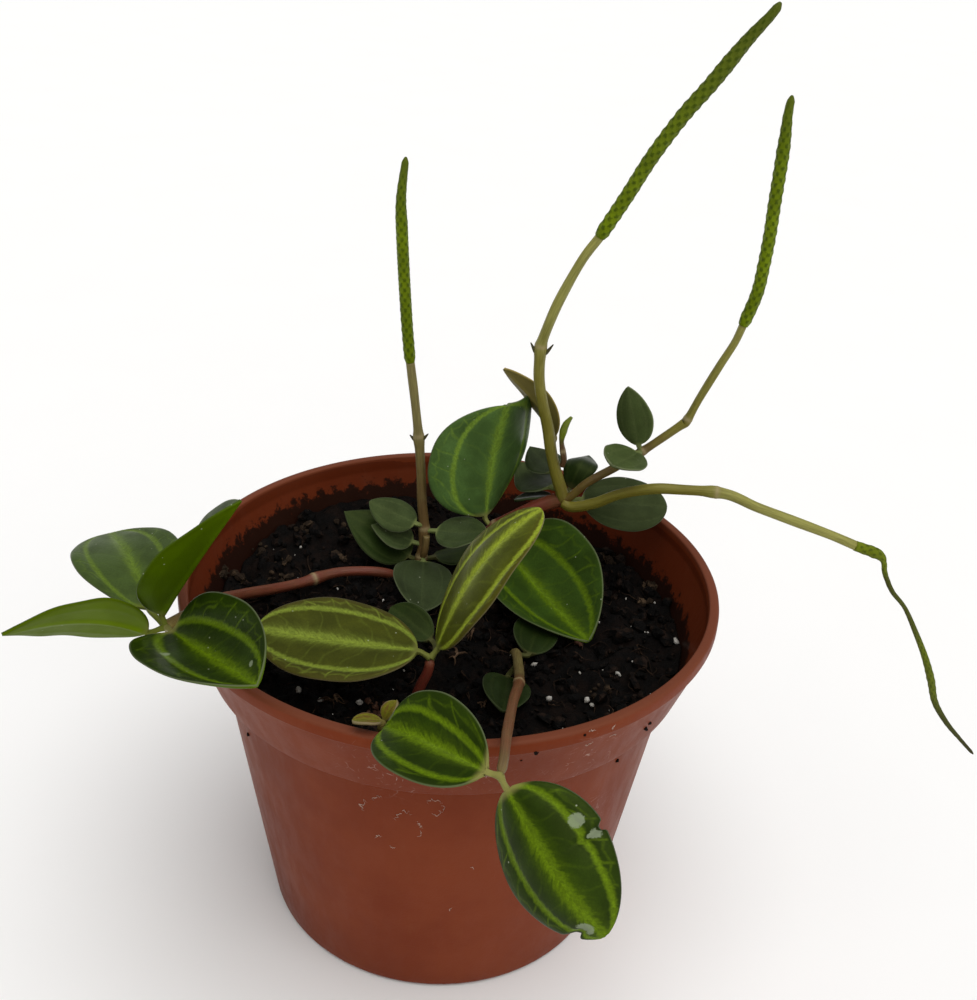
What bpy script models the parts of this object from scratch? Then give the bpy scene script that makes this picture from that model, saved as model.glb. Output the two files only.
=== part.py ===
"""A beetle peperomia in a round nursery pot, as one Blender model.

Every size below is in millimetres, and add_mesh turns it into metres.
The origin is the middle of the pot's underside, +Z is up, and the plant's front faces -Y.
Each leaf, stem, flower spike, the soil and the pot is an object of its own.
"""

import math

import bmesh
import bpy
import numpy as np

MM = 0.001
GAP = 0.3                       # clearance between pieces that touch
WELD = 1e-6                     # metres within which a cut's points are joined
SHARP_ANGLE = 50                # degrees past which an edge is drawn sharp

# the pot, a 12 cm round nursery pot
POT_SEGMENTS = 48
POT_WALL = 1.3
FLOOR = 1.6                     # thickness of the pot's floor
BASE_RADIUS = 41.3              # outside, just above the bottom corner
BASE_BEVEL = 1.4
BODY_TOP_RADIUS = 51.8          # outside, under the rim band
BAND_BOTTOM = 70.0              # height where the rim band steps out
BAND_BOTTOM_RADIUS = 54.7
BAND_TOP = 84.0
BAND_TOP_RADIUS = 59.7
BAND_BEVEL = 0.5
LIP_TOP = 87.0
LIP_RADIUS = 60.3
LIP_INNER_RADIUS = 58.1
LIP_BEVEL = 1.0
LEDGE_HEIGHT = 71.6             # the step inside, behind the foot of the rim band
LEDGE_RADIUS = 53.4
UNDER_LEDGE = 69.0              # height where the wall steps out to the ledge
UNDER_LEDGE_RADIUS = 50.5
THROAT_HEIGHT = 83.5
THROAT_RADIUS = 57.8
DRAIN_HOLES = 6
DRAIN_RADIUS = 3.5
DRAIN_CIRCLE = 28.0
DRAIN_SIDES = 12
DRAIN_CUT = (-2, 4)             # heights between which a drain hole is cut

# the soil that fills it
SOIL_LEVEL = 72.6
SOIL_RINGS = 12
SOIL_SEED = 7
SOIL_WAVES = 14
SOIL_WAVE_SIZES = (5, 14)       # distance between the crests of the lumps
SOIL_WAVE_HEIGHT = 0.25
SOIL_BANK = 5.0                 # how far the soil climbs the back left wall
SOIL_BANK_ANGLE = 128.0
SOIL_BANK_SPREAD = 38.0
SOIL_BANK_START = 0.72          # share of the radius where it starts to climb
SOIL_RADIUS = 55.0
STEM_CLEARANCE = 0.35           # between a stem and the wall of its hole

# leaves
BLADE = 0.7                     # thickness of a leaf
PETIOLE = 0.65                  # radius of a leaf's stalk
LEAST_HALF_WIDTH = 0.585        # of a blade, at its foot and its tip
LONG_STALK = 2.6                # a stalk longer than this has a ring halfway
STALK_ARC = (160, 20)           # degrees round a stalk that its upper points span
BASE_FULLNESS = 0.55            # lower is a rounder leaf base
CUP_POWER = 1.5                 # higher keeps the lift of a cupped leaf nearer its margin
TWIST_PIVOT = 0.4               # share of the length where a twisted blade isn't turned
ACROSS = 4                      # facets across a leaf
END_CROWDING = 0.7              # 1 crowds the facets towards both ends, 0 spaces them evenly
STATIONS = 10                   # facets along a large leaf
SMALL_STATIONS = 8
SPROUT_STATIONS = 6

# flower spikes
SPIKE_SIDES = 8
KNOB_STEP = 1.6                 # height of a ring of knobs
KNOB_RELIEF = 0.12              # share of the radius that knobs stand proud
SPIKE_FOOT = 0.85               # share of the radius at the foot and at the tip
SPIKE_TIP = 0.4
SPIKE_THINNING = 0.45           # share of the radius lost along the bare tip
WITHERED_STEP = 2.6
WITHERED_SIDES = 6

# stems
STEM_SIDES = 8
STEM_STEP = 3.2                 # distance between a stem's rings
NODE_SWELLING = 0.22            # share of the radius gained at a node
NODE_REACH = 1.8                # distance over which a node swells
BRACT_RADII = (0.65, 0.32)
BRACT_STEP = 1.2
BRACT_SIDES = 6
SHOOT_STEP = 1.6

# stem routes, each a list of points chosen by hand along the middle of the stem
RUNNER = [(-11, 18.5, 66.5), (-12.5, 18.3, 72.5), (-17.8, 16.8, 75.4), (-27.2, 14.8, 76), (-35.3, 9, 76.3),
          (-41.4, 3, 78), (-46.3, -5.6, 82), (-49.4, -15.8, 87), (-52.3, -25.4, 90.3), (-56.6, -32.2, 91)]
FRONT_LEFT = [(-8, -29.7, 66.5), (-5.6, -29.7, 76), (-3.9, -29.9, 81), (-3.5, -29.6, 84.3)]
UPRIGHT = [(-8.2, 21.5, 66.5), (-7.6, 22, 75.8), (-7.1, 23, 83.5), (-7.9, 23.5, 92), (-8.4, 24, 100),
           (-9.1, 24, 108), (-10.3, 24, 118), (-11.6, 24, 127.5)]
STUB = [(-7.3, 21.8, 77.4), (-6.8, 20.9, 79.2), (-6.5, 20.8, 81.4), (-6.4, 21, 83.6)]
RIGHT = [(7, 22, 66.5), (8.6, 23, 79), (9.8, 23.6, 84.6), (16, 24, 89.2), (23, 23.8, 93), (26.8, 22.8, 94.6)]
TALL_FORK = [(26.2, 22.8, 94.2), (25.4, 23, 96.5), (23.8, 23, 101), (22.1, 23, 107), (20.9, 23, 113),
             (19, 22, 120), (17.8, 22, 126), (17.6, 22, 132), (17.8, 22, 134.7), (19.3, 21, 140.6),
             (21.3, 21, 146.2), (24.9, 20, 154.7), (28.2, 20, 160)]
RIGHT_FORK = [(26, 22.4, 94.2), (27.8, 22, 96), (31.4, 22, 99.9), (37.8, 23, 103.8), (43.4, 24, 107.5),
              (51.9, 25, 114.3), (53.4, 25, 115.9), (55.6, 25, 121.7), (59.1, 25, 130), (61.6, 25, 135.6),
              (62.9, 25, 140)]
ARCH_FORK = [(26, 22, 94), (28.2, 20.8, 93.7), (33.2, 19, 96), (38.6, 17, 99.8), (45.5, 15, 102.6),
             (52, 14, 103.3), (61.9, 12, 103.8), (69.6, 11, 101.2), (78.3, 10, 98.6), (87.2, 9, 95.9),
             (93, 8, 94)]
HANGING = [(15, -3, 66.5), (15.2, -13, 74.4), (15.2, -22.1, 78.2), (14.8, -34.8, 83), (13, -47.8, 88),
           (11.5, -60.4, 90.6), (10.9, -66.5, 90.2), (10.3, -69.8, 88.7)]
SHOOT = [(24.9, 22.1, 103.8), (25.2, 21.7, 105.6), (24.7, 21.5, 108), (24.2, 21.4, 110.6), (24.4, 21.4, 113),
         (24.9, 21.4, 115), (26, 21.4, 116.9)]
SPROUT = [(-12, -47, 66.5), (-12.2, -47.6, 74), (-12.1, -50.4, 81.4), (-11.7, -55.1, 86.2)]
LEFT_SPIKE = [(-11.6, 24, 127.5), (-12.5, 24, 136.3), (-13.4, 24, 147.5), (-14.1, 24, 158),
              (-14.4, 24, 165), (-13.6, 24, 173.6)]
TALL_SPIKE = [(28.2, 20, 160), (32.9, 19, 169.2), (37, 18, 177.7), (42.1, 17, 186.4), (46.7, 16, 193),
              (52.2, 15, 201.4), (56, 14, 206.6), (57.5, 14, 209)]
RIGHT_SPIKE = [(62.9, 25, 140), (64.8, 25, 147.4), (65.3, 25, 154), (65.5, 25, 161), (65.4, 25, 168),
               (65.4, 25, 175), (65.3, 25, 181.5), (65.1, 25, 186.4), (65.3, 25, 190.2)]
WITHERED_SPIKE = [(93, 8, 94), (99.1, 7, 92), (101.1, 7, 87.3), (103.3, 6, 83.3), (107.3, 6, 78.8),
                  (111.5, 6, 71.8), (115.2, 6, 65), (118.2, 6, 58.3), (120.7, 6, 51.7), (124.4, 5, 46.4),
                  (129.1, 5, 41.3), (133.6, 5, 36.7)]

# radii along a shape, each with its share of the length
WITHERED_RADII = [(0, 1.0), (0.08, 1.1), (0.12, 0.6), (0.3, 0.5), (0.5, 0.75), (0.62, 0.95), (0.75, 0.75),
                  (0.9, 0.5), (1, 0.4)]
SHOOT_RADII = [(0, 0.6), (0.3, 0.55), (0.5, 0.5), (0.7, 0.85), (0.85, 0.75), (1, 0.35)]

# route, radius at the foot, radius at the end, distances of the nodes along the stem
STEMS = {
    "runner_stem": (RUNNER, 1.15, 1.35, [28, 72]),
    "front_left_stem": (FRONT_LEFT, 1.15, 1.15, [18]),
    "upright_stem": (UPRIGHT, 1.3, 1.0, [10, 17.5, 42]),
    "hanging_stem": (HANGING, 1.2, 1.1, [31, 73]),
    "right_stem": (RIGHT, 1.6, 1.7, [19]),
    "stub": (STUB, 0.95, 0.8, []),
    "tall_fork": (TALL_FORK, 1.5, 1.0, [40]),
    "right_fork": (RIGHT_FORK, 1.0, 0.9, [22, 35]),
    "arch_fork": (ARCH_FORK, 1.3, 0.9, [37])}

# start, tip and sag of the small brown scales at a node
UPRIGHT_BRACTS = [((-9, 24, 107.4), (-11.2, 23.6, 109.3), 0.3), ((-9.2, 24, 107.6), (-6.9, 23.6, 109.8), 0.3)]
TALL_BRACTS = [((17.6, 22, 131.4), (15.3, 21.6, 134.6), 0.5), ((17.6, 22, 131.4), (20.4, 21.6, 134.4), 0.5)]

# route, radius, share of the length that is bare
SPIKES = {
    "left_spike": (LEFT_SPIKE, 1.3, 0.3),
    "tall_spike": (TALL_SPIKE, 1.5, 0.25),
    "right_spike": (RIGHT_SPIKE, 1.4, 0.22)}

# middle of the stem where it grows, foot of the blade, (heading, rise, roll), (length, width),
# (arch, skew, left cup, right cup, twist, point), lobes at (left foot, right foot, left tip, right tip),
# distance from the stem's middle to its skin
PLAIN = (0, 0, 0, 0)
LARGE_LEAVES = {
    "runner_leaf_back": (RUNNER[-1], (-60.8, -28.6, 92.8), (118, 0, 0), (32.2, 22.4),
                         (3.1, -0.3, 0.8, 1.4, -2, 0.51), PLAIN, 1.4),
    "runner_leaf_outer": (RUNNER[-1], (-60, -33.8, 90.8), (-151, 15, 52), (27.7, 18.8),
                          (2.5, -0.2, 0.9, 0.3, 2, 0.98), PLAIN, 1.4),
    "runner_leaf_folded": (RUNNER[-1], (-57.4, -31.5, 93.9), (-4, 58, -24), (32.1, 19.1),
                           (0.3, -0.2, 7.3, 4, 10, 0.88), PLAIN, 1.4),
    "runner_leaf_front": (RUNNER[-1], (-54.6, -35.2, 92), (-50, 12, 25), (33.3, 21.5),
                          (-0.3, -0.2, 5.9, 9.6, -1, 0.5), (9, 8.1, 1.1, -0.6), 1.4),
    "front_left_leaf_flat": (FRONT_LEFT[-1], (-6.2, -29, 85.5), (174, 2, -11), (34, 23.5),
                             (-0.5, 0, 1, 0.7, -9, 0.56), PLAIN, 1.4),
    "front_left_leaf_raised": (FRONT_LEFT[-1], (-2, -28.6, 86.3), (28, 51, -11), (35.7, 21.4),
                               (3.4, 0.2, -1.2, -0.5, 3, 0.55), PLAIN, 0.75),
    "centre_leaf_upright": (RIGHT[2], (7.6, 24.6, 88), (5, 83, 127), (29.7, 28.9),
                            (-1.4, 0.2, -6.4, -3.4, -17, 0.64), (4.7, -0.7, 0.4, 2), 2.0),
    "centre_leaf_broad": (RIGHT[2], (12.6, 20.6, 81.6), (-57, -10, 9), (35.4, 25.4),
                          (-1.2, 0.1, 11, 5, -6, 0.72), (6, 2.9, 0, 0.9), 2.0),
    "hanging_leaf_left": (HANGING[-1], (7.7, -70.6, 90.3), (148, -1, -33), (21.6, 17.3),
                          (2, 0.8, 6.3, 3.6, 5, 0.52), (2.5, 1, 1.3, 0.2), 1.2),
    "hanging_leaf_front": (HANGING[-1], (11.6, -71.2, 86.9), (-45, -33, 60), (29.4, 21.3),
                           (2.5, 0.7, -4.6, -3.8, -7, 0.61), PLAIN, 1.2)}
SMALL_LEAVES = {
    "deep_leaf": (FRONT_LEFT[2], (-3.7, -19.4, 81.6), (138, 11, -19), (12.4, 8),
                  (0.4, 0, 0.5, 1, -10, 0.54), PLAIN, 1.15),
    "upright_leaf_long": ((-7.6, 22, 76.2), (-10.5, 22.6, 76.6), (160, 25, -28), (19.5, 13.5),
                          (0.8, 0.3, 0.8, 0.3, 5, 0.95), PLAIN, 1.65),
    "upright_leaf_heart": ((-7.4, 22.1, 77), (-6.9, 19.2, 77.2), (-89, -4, -4), (19.5, 14.4),
                           (0.6, -0.7, 0.9, 2.1, -7, 0.65), PLAIN, 1.65),
    "upright_leaf_shade": ((-7.5, 22.1, 76.2), (-4.4, 23.4, 76.4), (20, 6, 6), (10.9, 7.1),
                           (-0.8, 0, -0.6, -0.4, 8, 0.8), PLAIN, 1.65),
    "upright_leaf_sliver": ((-7.3, 22.4, 80.4), (-9.8, 22.5, 80.9), (174, 18, -28), (10.8, 8.2),
                            (0.3, 0, 0.5, -0.3, 0, 0.95), PLAIN, 1.65),
    "upright_leaf_left": ((-7.1, 23, 85.4), (-9.2, 21.9, 86.5), (160, 14, -32), (12.6, 8.9),
                          (-0.3, 0, -0.6, -0.8, -2, 0.72), PLAIN, 1.65),
    "upright_leaf_right": ((-7.1, 22.9, 84), (-4.1, 21.7, 84.8), (-21, 13, 19), (13.3, 10.8),
                           (-0.5, -0.1, 0.2, 0.3, -1, 0.75), PLAIN, 1.65),
    "fork_leaf_lower": ((25.3, 23, 96.8), (23, 26.2, 96), (115, -5, -16), (16.3, 11.1),
                        (-1.8, 0.6, 0, 0, 8, 0.66), PLAIN, 1.8),
    "fork_leaf_upper": ((24.4, 23, 99.4), (23.6, 26.6, 100), (113, -1, -14), (14, 9.1),
                        (-0.4, 0.2, 0, 0.1, 8, 0.85), PLAIN, 1.6),
    "fork_leaf_back": ((27, 22.6, 95.6), (27.8, 26.4, 95.9), (64, 18, 15), (11.7, 7.9),
                       (4.1, -0.7, -2.5, -0.3, -6, 0.69), PLAIN, 1.9),
    "fork_leaf_large": ((27.5, 22.4, 94.2), (30.6, 24.2, 94), (4, -5, 32), (21.2, 14.7),
                        (-0.3, -0.1, 0.3, -0.4, 1, 0.52), PLAIN, 0.9),
    "fork_leaf_shade": ((24.5, 23.5, 93.6), (23.9, 28.7, 91.9), (176, -12, 10), (9.5, 6),
                        (0.5, 0, 0.5, 0.5, 0, 0.6), PLAIN, 2.0),
    "branch_leaf_upright": (RIGHT_FORK[4], (42.6, 24, 109.4), (135, 69, -74), (14.1, 9.8),
                            (0, 0, -1, 0, 10, 0.82), PLAIN, 1.2),
    "branch_leaf_flat": (RIGHT_FORK[4], (42.2, 21.4, 108.6), (-123, 7, 0), (12.8, 10.1),
                         (-0.3, -0.5, -0.5, 2.4, 1, 0.54), PLAIN, 1.2),
    "tan_leaf": ((21.8, 23, 108.4), (22.9, 26, 109.6), (151, 43, 58), (20, 13.2),
                 (1.4, -0.5, 0.9, 1.4, -1, 0.8), PLAIN, 1.7),
    "soil_leaf_back": ((15.2, -14, 74.7), (18, -13.8, 75), (77, 1, 6), (14, 10.4),
                       (0.4, 0, 1.1, 0.3, 0, 0.51), (0, 0.5, 0, 0), 1.2),
    "soil_leaf_front": ((15.2, -22.1, 78.2), (13, -23.8, 75.8), (-95, 5, -9), (13.1, 10.6),
                        (0.4, 0.1, 0.5, 1, 4, 0.73), (1.6, 2, 0, 0), 1.2)}
# two young leaves, sunk into the sprout's stem by a gap below zero
SPROUT_LEAVES = {
    "over": (SPROUT[-1], (-11.6, -56, 88.5), (194, 9, 8), (5.6, 4), (0.3, 0, 0.4, 0.4, 0, 0.6), PLAIN, -GAP),
    "inner": ((-12.1, -50.8, 82), (-11.3, -50.6, 84.4), (45, 46, 0), (4.4, 3.4),
              (0.6, 0, 0.6, 0.6, 0, 0.6), PLAIN, -GAP)}
SPROUT_RADII = (0.75, 0.7)


def clear_scene():
    """Remove whatever the file starts with."""
    for item in list(bpy.data.objects):
        bpy.data.objects.remove(item, do_unlink=True)


def finish(name, colour, roughness):
    """A plain Principled material."""
    material = bpy.data.materials.new(name)
    material.use_nodes = True
    shader = material.node_tree.nodes["Principled BSDF"]
    shader.inputs["Base Color"].default_value = (*colour, 1.0)
    shader.inputs["Roughness"].default_value = roughness
    shader.inputs["Metallic"].default_value = 0.0
    return material


def add_mesh(name, points, faces, material):
    """Put points given in millimetres, and their faces, into a new object."""
    mesh = bpy.data.meshes.new(name)
    mesh.from_pydata((np.asarray(points, dtype=float) * MM).tolist(), [], faces)
    mesh.validate()
    shape = bmesh.new()
    shape.from_mesh(mesh)
    bmesh.ops.triangulate(shape, faces=[face for face in shape.faces if len(face.verts) > 4])
    bmesh.ops.recalc_face_normals(shape, faces=shape.faces)
    shape.to_mesh(mesh)
    shape.free()
    mesh.shade_smooth()
    mesh.set_sharp_from_angle(angle=math.radians(SHARP_ANGLE))
    item = bpy.data.objects.new(name, mesh)
    bpy.context.scene.collection.objects.link(item)
    item.data.materials.append(material)
    return item


def apply_boolean(target, others, operation):
    """Join the other objects to the target, or cut them from it, and remove them."""
    group = bpy.data.collections.new(target.name + "_others")
    for item in others:
        group.objects.link(item)
    change = target.modifiers.new(operation, "BOOLEAN")
    change.operand_type = "COLLECTION"
    change.collection = group
    change.operation = operation
    change.solver = "EXACT"
    depsgraph = bpy.context.evaluated_depsgraph_get()
    result = bpy.data.meshes.new_from_object(target.evaluated_get(depsgraph))
    shape = bmesh.new()
    shape.from_mesh(result)
    bmesh.ops.remove_doubles(shape, verts=shape.verts, dist=WELD)
    shape.to_mesh(result)
    shape.free()
    target.modifiers.clear()
    target.data = result
    for item in others:
        bpy.data.objects.remove(item, do_unlink=True)
    bpy.data.collections.remove(group)


def unit(vector):
    """The same direction with a length of one."""
    vector = np.asarray(vector, dtype=float)
    return vector / np.linalg.norm(vector)


def smooth_path(route, step):
    """Points about one step apart on a curve that passes through every point of the route.

    Each stretch is a Catmull-Rom cubic, which takes its direction at a point from the points beside it.
    """
    route = np.asarray(route, dtype=float)
    ends = np.vstack([2 * route[0] - route[1], route, 2 * route[-1] - route[-2]])
    path = []
    for before, start, end, after in zip(ends, ends[1:], ends[2:], ends[3:]):
        count = max(1, round(np.linalg.norm(end - start) / step))
        t = (np.arange(count) / count)[:, None]
        path.append(0.5 * (2 * start + (end - before) * t
                           + (2 * before - 5 * start + 4 * end - after) * t ** 2
                           + (3 * start - before - 3 * end + after) * t ** 3))
    return np.vstack(path + [route[-1:]])


def path_frames(path):
    """Two directions square to the path at each point, carried along without twisting."""
    along = np.gradient(path, axis=0)
    along = along / np.linalg.norm(along, axis=1)[:, None]
    side = np.cross(along[0], (0.3, 1.0, 0.2))
    sides = []
    for direction in along:
        side = unit(side - direction * (side @ direction))
        sides.append(side)
    sides = np.array(sides)
    return sides, np.cross(along, sides)


def ring_faces(rings, count, flipped=None):
    """Faces of a tube of rings, with a fan closing each end.

    The rings' points come first, then the middle of the first ring and the middle of the last.
    flipped marks the cells that are split along their other diagonal, with a row for each ring.
    """
    faces = []
    for ring in range(rings - 1):
        for i in range(count):
            j = (i + 1) % count
            a, b = ring * count + i, ring * count + j
            if flipped is not None and flipped[ring][i]:
                faces += [(a, b, a + count), (b, b + count, a + count)]
            else:
                faces += [(a, b, b + count), (a, b + count, a + count)]
    last = (rings - 1) * count
    for i in range(count):
        j = (i + 1) % count
        faces.append((rings * count, j, i))
        faces.append((rings * count + 1, last + i, last + j))
    return faces


def tube(name, path, radius, material, sides=STEM_SIDES, relief=None, flipped=None):
    """A round bar along a path. Its radius is a number or one number for each point.

    relief is an array of factors on the radius, a row for each point and a column for each side.
    """
    across, up = path_frames(path)
    angle = np.arange(sides) / sides * 2 * np.pi
    reach = np.broadcast_to(np.asarray(radius, dtype=float), (len(path),))[:, None]
    reach = reach * (np.ones((len(path), sides)) if relief is None else relief)
    points = (path[:, None] + reach[..., None] * (np.cos(angle)[None, :, None] * across[:, None]
                                                  + np.sin(angle)[None, :, None] * up[:, None]))
    points = np.vstack([points.reshape(-1, 3), path[:1], path[-1:]])
    return add_mesh(name, points, ring_faces(len(path), sides, flipped), material)


def stem(name, material):
    """A stem that tapers from one radius to another and swells a little at its nodes."""
    route, thick, thin, nodes = STEMS[name]
    path = smooth_path(route, STEM_STEP)
    length = np.concatenate([[0], np.cumsum(np.linalg.norm(np.diff(path, axis=0), axis=1))])
    radius = thick + (thin - thick) * length / length[-1]
    for place in nodes:
        radius = radius * (1 + NODE_SWELLING * np.exp(-((length - place) / NODE_REACH) ** 2))
    return tube(name, path, radius, material)


def bract(start, tip, sag, material):
    """A small brown scale at a node: a short bar that thins to its tip, bent by sag."""
    start, tip = np.array(start, dtype=float), np.array(tip, dtype=float)
    middle = (start + tip) / 2 + np.array([0, 0, -sag])
    path = smooth_path([start, middle, tip], BRACT_STEP)
    return tube("bract", path, np.linspace(*BRACT_RADII, len(path)), material, sides=BRACT_SIDES)


def clear_of_stem(path):
    """The same path with its first point moved a gap along it."""
    path[0] = path[0] + GAP * unit(path[1] - path[0])
    return path


def spike(name, route, radius, bare, material):
    """A flower spike: a bar covered in rows of knobs set like bricks, with a bare narrow tip.

    The knobs are a factor on the radius that alternates along the spike and round it, and each
    cell is split between its two low corners. bare is the share of the length that thins out.
    """
    path = clear_of_stem(smooth_path(route, KNOB_STEP))
    share = np.linspace(0, 1, len(path))
    taper = np.where(share > 1 - bare, 1 - SPIKE_THINNING * (share - 1 + bare) / bare, 1.0)
    taper[0] = SPIKE_FOOT
    taper[-1] = SPIKE_TIP
    ring, side = np.meshgrid(np.arange(len(path)), np.arange(SPIKE_SIDES), indexing="ij")
    relief = 1 + KNOB_RELIEF * np.cos(np.pi * (ring + side))
    relief[0] = 1
    relief[-1] = 1
    return tube(name, path, radius * taper, material, SPIKE_SIDES, relief, (ring + side) % 2 == 0)


def leaf_axes(heading, rise, roll):
    """Along, left and face directions of a leaf.

    heading turns from +X towards +Y, rise lifts the tip, and roll lifts the left side, in degrees.
    """
    h, r, t = (math.radians(angle) for angle in (heading, rise, roll))
    along = np.array([math.cos(r) * math.cos(h), math.cos(r) * math.sin(h), math.sin(r)])
    up = np.array([-math.sin(r) * math.cos(h), -math.sin(r) * math.sin(h), math.cos(r)])
    left = np.cross(up, along)
    return along, math.cos(t) * left + math.sin(t) * up, math.cos(t) * up - math.sin(t) * left


def blade_grid(size, shape, lobes, stations):
    """Middle surface of a blade in its own axes: a row for each station along the midrib.

    With u along the midrib and v from -1 to 1 across it, the half width is u^a (1-u)^b, scaled.
    The midrib bows by arch, the margins lift by cup, and the section twists from base to tip.
    Lobes draw a margin back near the foot or forward near the tip.
    """
    length, width = size
    arch, skew, cup_left, cup_right, twist, tip = shape
    left_foot, right_foot, left_tip, right_tip = lobes
    even = np.linspace(0, 1, stations + 1)
    u = (END_CROWDING * (1 - np.cos(np.pi * even)) / 2 + (1 - END_CROWDING) * even)[:, None]
    v = np.linspace(-1, 1, ACROSS + 1)[None, :]
    widest = BASE_FULLNESS / (BASE_FULLNESS + tip)
    fullness = u ** BASE_FULLNESS * (1 - u) ** tip / (widest ** BASE_FULLNESS * (1 - widest) ** tip)
    back = np.where(v > 0, left_foot, right_foot) * (1 - u) ** 3
    forward = np.where(v > 0, left_tip, right_tip) * u ** 3
    across = v * np.maximum(width / 2 * fullness, LEAST_HALF_WIDTH)
    lift = np.where(v > 0, cup_left, cup_right) * fullness * np.abs(v) ** CUP_POWER
    turn = np.radians(twist) * (u - TWIST_PIVOT)
    rise = arch * 4 * u * (1 - u) * (1 + skew * (2 * u - 1))
    return np.stack([u * length + fullness ** 2 * v ** 2 * (forward - back),
                     across * np.cos(turn) - lift * np.sin(turn),
                     across * np.sin(turn) + lift * np.cos(turn) + rise], axis=-1)


def surface_normals(grid):
    """Unit normals of a grid of points, from the directions of its rows and columns."""
    normals = np.cross(np.gradient(grid, axis=0), np.gradient(grid, axis=1))
    return normals / np.linalg.norm(normals, axis=-1)[..., None]


def leaf_start(joint, base, joint_radius):
    """Where a stalk begins: on the line from the stem's middle to the blade, just off the stem."""
    return np.add(joint, unit(np.subtract(base, joint)) * (joint_radius + GAP))


def turn_towards(vectors, old, new):
    """Vectors turned by the shortest turn that brings the old direction to the new one."""
    axis = np.cross(old, new)
    share = 1 / (1 + old @ new)
    return vectors * (old @ new) + np.cross(axis, vectors) + np.outer(vectors @ axis, axis) * share


def leaf_rings(sizes, stations):
    """Rings of points from the foot of the stalk to the tip of the blade, and the two end points."""
    joint, base, angles, size, shape, lobes, joint_radius = sizes
    along, left, face = leaf_axes(*angles)
    grid = blade_grid(size, shape, lobes, stations)
    middle = grid @ np.array([along, left, face]) + np.asarray(base, dtype=float)
    normals = surface_normals(middle)
    normals[[0, -1]] = normals[[0, -1], ACROSS // 2][:, None]
    top = middle + normals * BLADE / 2
    bottom = middle - normals * BLADE / 2
    blade = np.concatenate([top, bottom[:, ::-1]], axis=1)
    foot = leaf_start(joint, base, joint_radius)
    run = np.subtract(base, foot)
    side, over = turn_towards(np.array([left, face]), along, unit(run))
    upper = np.radians(np.linspace(*STALK_ARC, ACROSS + 1))
    circle = np.concatenate([upper, -upper[::-1]])[:, None]
    reach = PETIOLE * (np.cos(circle) * side + np.sin(circle) * over)
    stalk = [foot + reach]
    if np.linalg.norm(run) > LONG_STALK:
        stalk.append(foot + run / 2 + reach)
    rings = np.concatenate([np.array(stalk), blade])
    return rings, foot, rings[-1].mean(axis=0)


def leaf(name, sizes, stations, material):
    """One leaf with its stalk, a closed body.

    The cells of the lower face are split the other way, so that both faces have the same triangles.
    """
    rings, foot, end = leaf_rings(sizes, stations)
    points = np.vstack([rings.reshape(-1, 3), foot, end])
    count = rings.shape[1]
    flipped = np.tile(np.arange(count) > ACROSS, (len(rings), 1))
    return add_mesh(name, points, ring_faces(len(rings), count, flipped), material)


def pot_profile():
    """Radius and height of the pot's wall, down the outside from the lip and back up the inside."""
    outside = [(LIP_INNER_RADIUS + LIP_BEVEL / 2, LIP_TOP - LIP_BEVEL / 4), (LIP_RADIUS - LIP_BEVEL, LIP_TOP),
               (LIP_RADIUS - LIP_BEVEL / 8, LIP_TOP - LIP_BEVEL / 2), (LIP_RADIUS, LIP_TOP - LIP_BEVEL * 1.5),
               (LIP_RADIUS - LIP_BEVEL / 4, BAND_TOP + LIP_BEVEL / 4), (BAND_TOP_RADIUS, BAND_TOP),
               (BAND_BOTTOM_RADIUS, BAND_BOTTOM + BAND_BEVEL), (BAND_BOTTOM_RADIUS - BAND_BEVEL, BAND_BOTTOM),
               (BODY_TOP_RADIUS, BAND_BOTTOM - BAND_BEVEL), (BASE_RADIUS, BASE_BEVEL),
               (BASE_RADIUS - BASE_BEVEL, 0.0)]
    inside = [(BASE_RADIUS - 2 * POT_WALL, FLOOR), (BASE_RADIUS - POT_WALL, FLOOR + POT_WALL),
              (UNDER_LEDGE_RADIUS, UNDER_LEDGE), (UNDER_LEDGE_RADIUS, UNDER_LEDGE + POT_WALL),
              (LEDGE_RADIUS, LEDGE_HEIGHT), (THROAT_RADIUS, THROAT_HEIGHT),
              (LIP_INNER_RADIUS, LIP_TOP - LIP_BEVEL)]
    return outside, inside


def turned(name, outside, inside, low_centre, high_centre, material):
    """A solid turned about Z from two profiles, closed on the axis at two heights.

    outside runs down to the low centre point, and inside runs up from the high one.
    """
    count = POT_SEGMENTS
    angle = np.arange(count) / count * 2 * np.pi
    ring = np.stack([np.cos(angle), np.sin(angle), 0 * angle], axis=-1)
    profile = outside + inside
    points = np.vstack([ring * radius + (0, 0, height) for radius, height in profile]
                       + [[(0, 0, low_centre), (0, 0, high_centre)]])
    low, high = len(profile) * count, len(profile) * count + 1
    faces = []
    for row in range(len(profile)):
        below = (row + 1) % len(profile)
        for i in range(count):
            j = (i + 1) % count
            if row == len(outside) - 1:
                faces.append((row * count + i, low, row * count + j))
                faces.append((below * count + i, below * count + j, high))
            else:
                faces.append((row * count + i, below * count + i, below * count + j, row * count + j))
    return add_mesh(name, points, faces, material)


def upright_bar(name, x, y, radius, heights, sides, material):
    """A straight bar along Z with flat four-sided sides, between two heights."""
    angle = np.arange(sides) / sides * 2 * np.pi
    ring = np.stack([x + radius * np.cos(angle), y + radius * np.sin(angle), 0 * angle], axis=-1)
    points = np.vstack([ring + (0, 0, height) for height in heights])
    faces = [(i, (i + 1) % sides, (i + 1) % sides + sides, i + sides) for i in range(sides)]
    faces += [tuple(range(sides))[::-1], tuple(range(sides, 2 * sides))]
    return add_mesh(name, points, faces, material)


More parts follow.
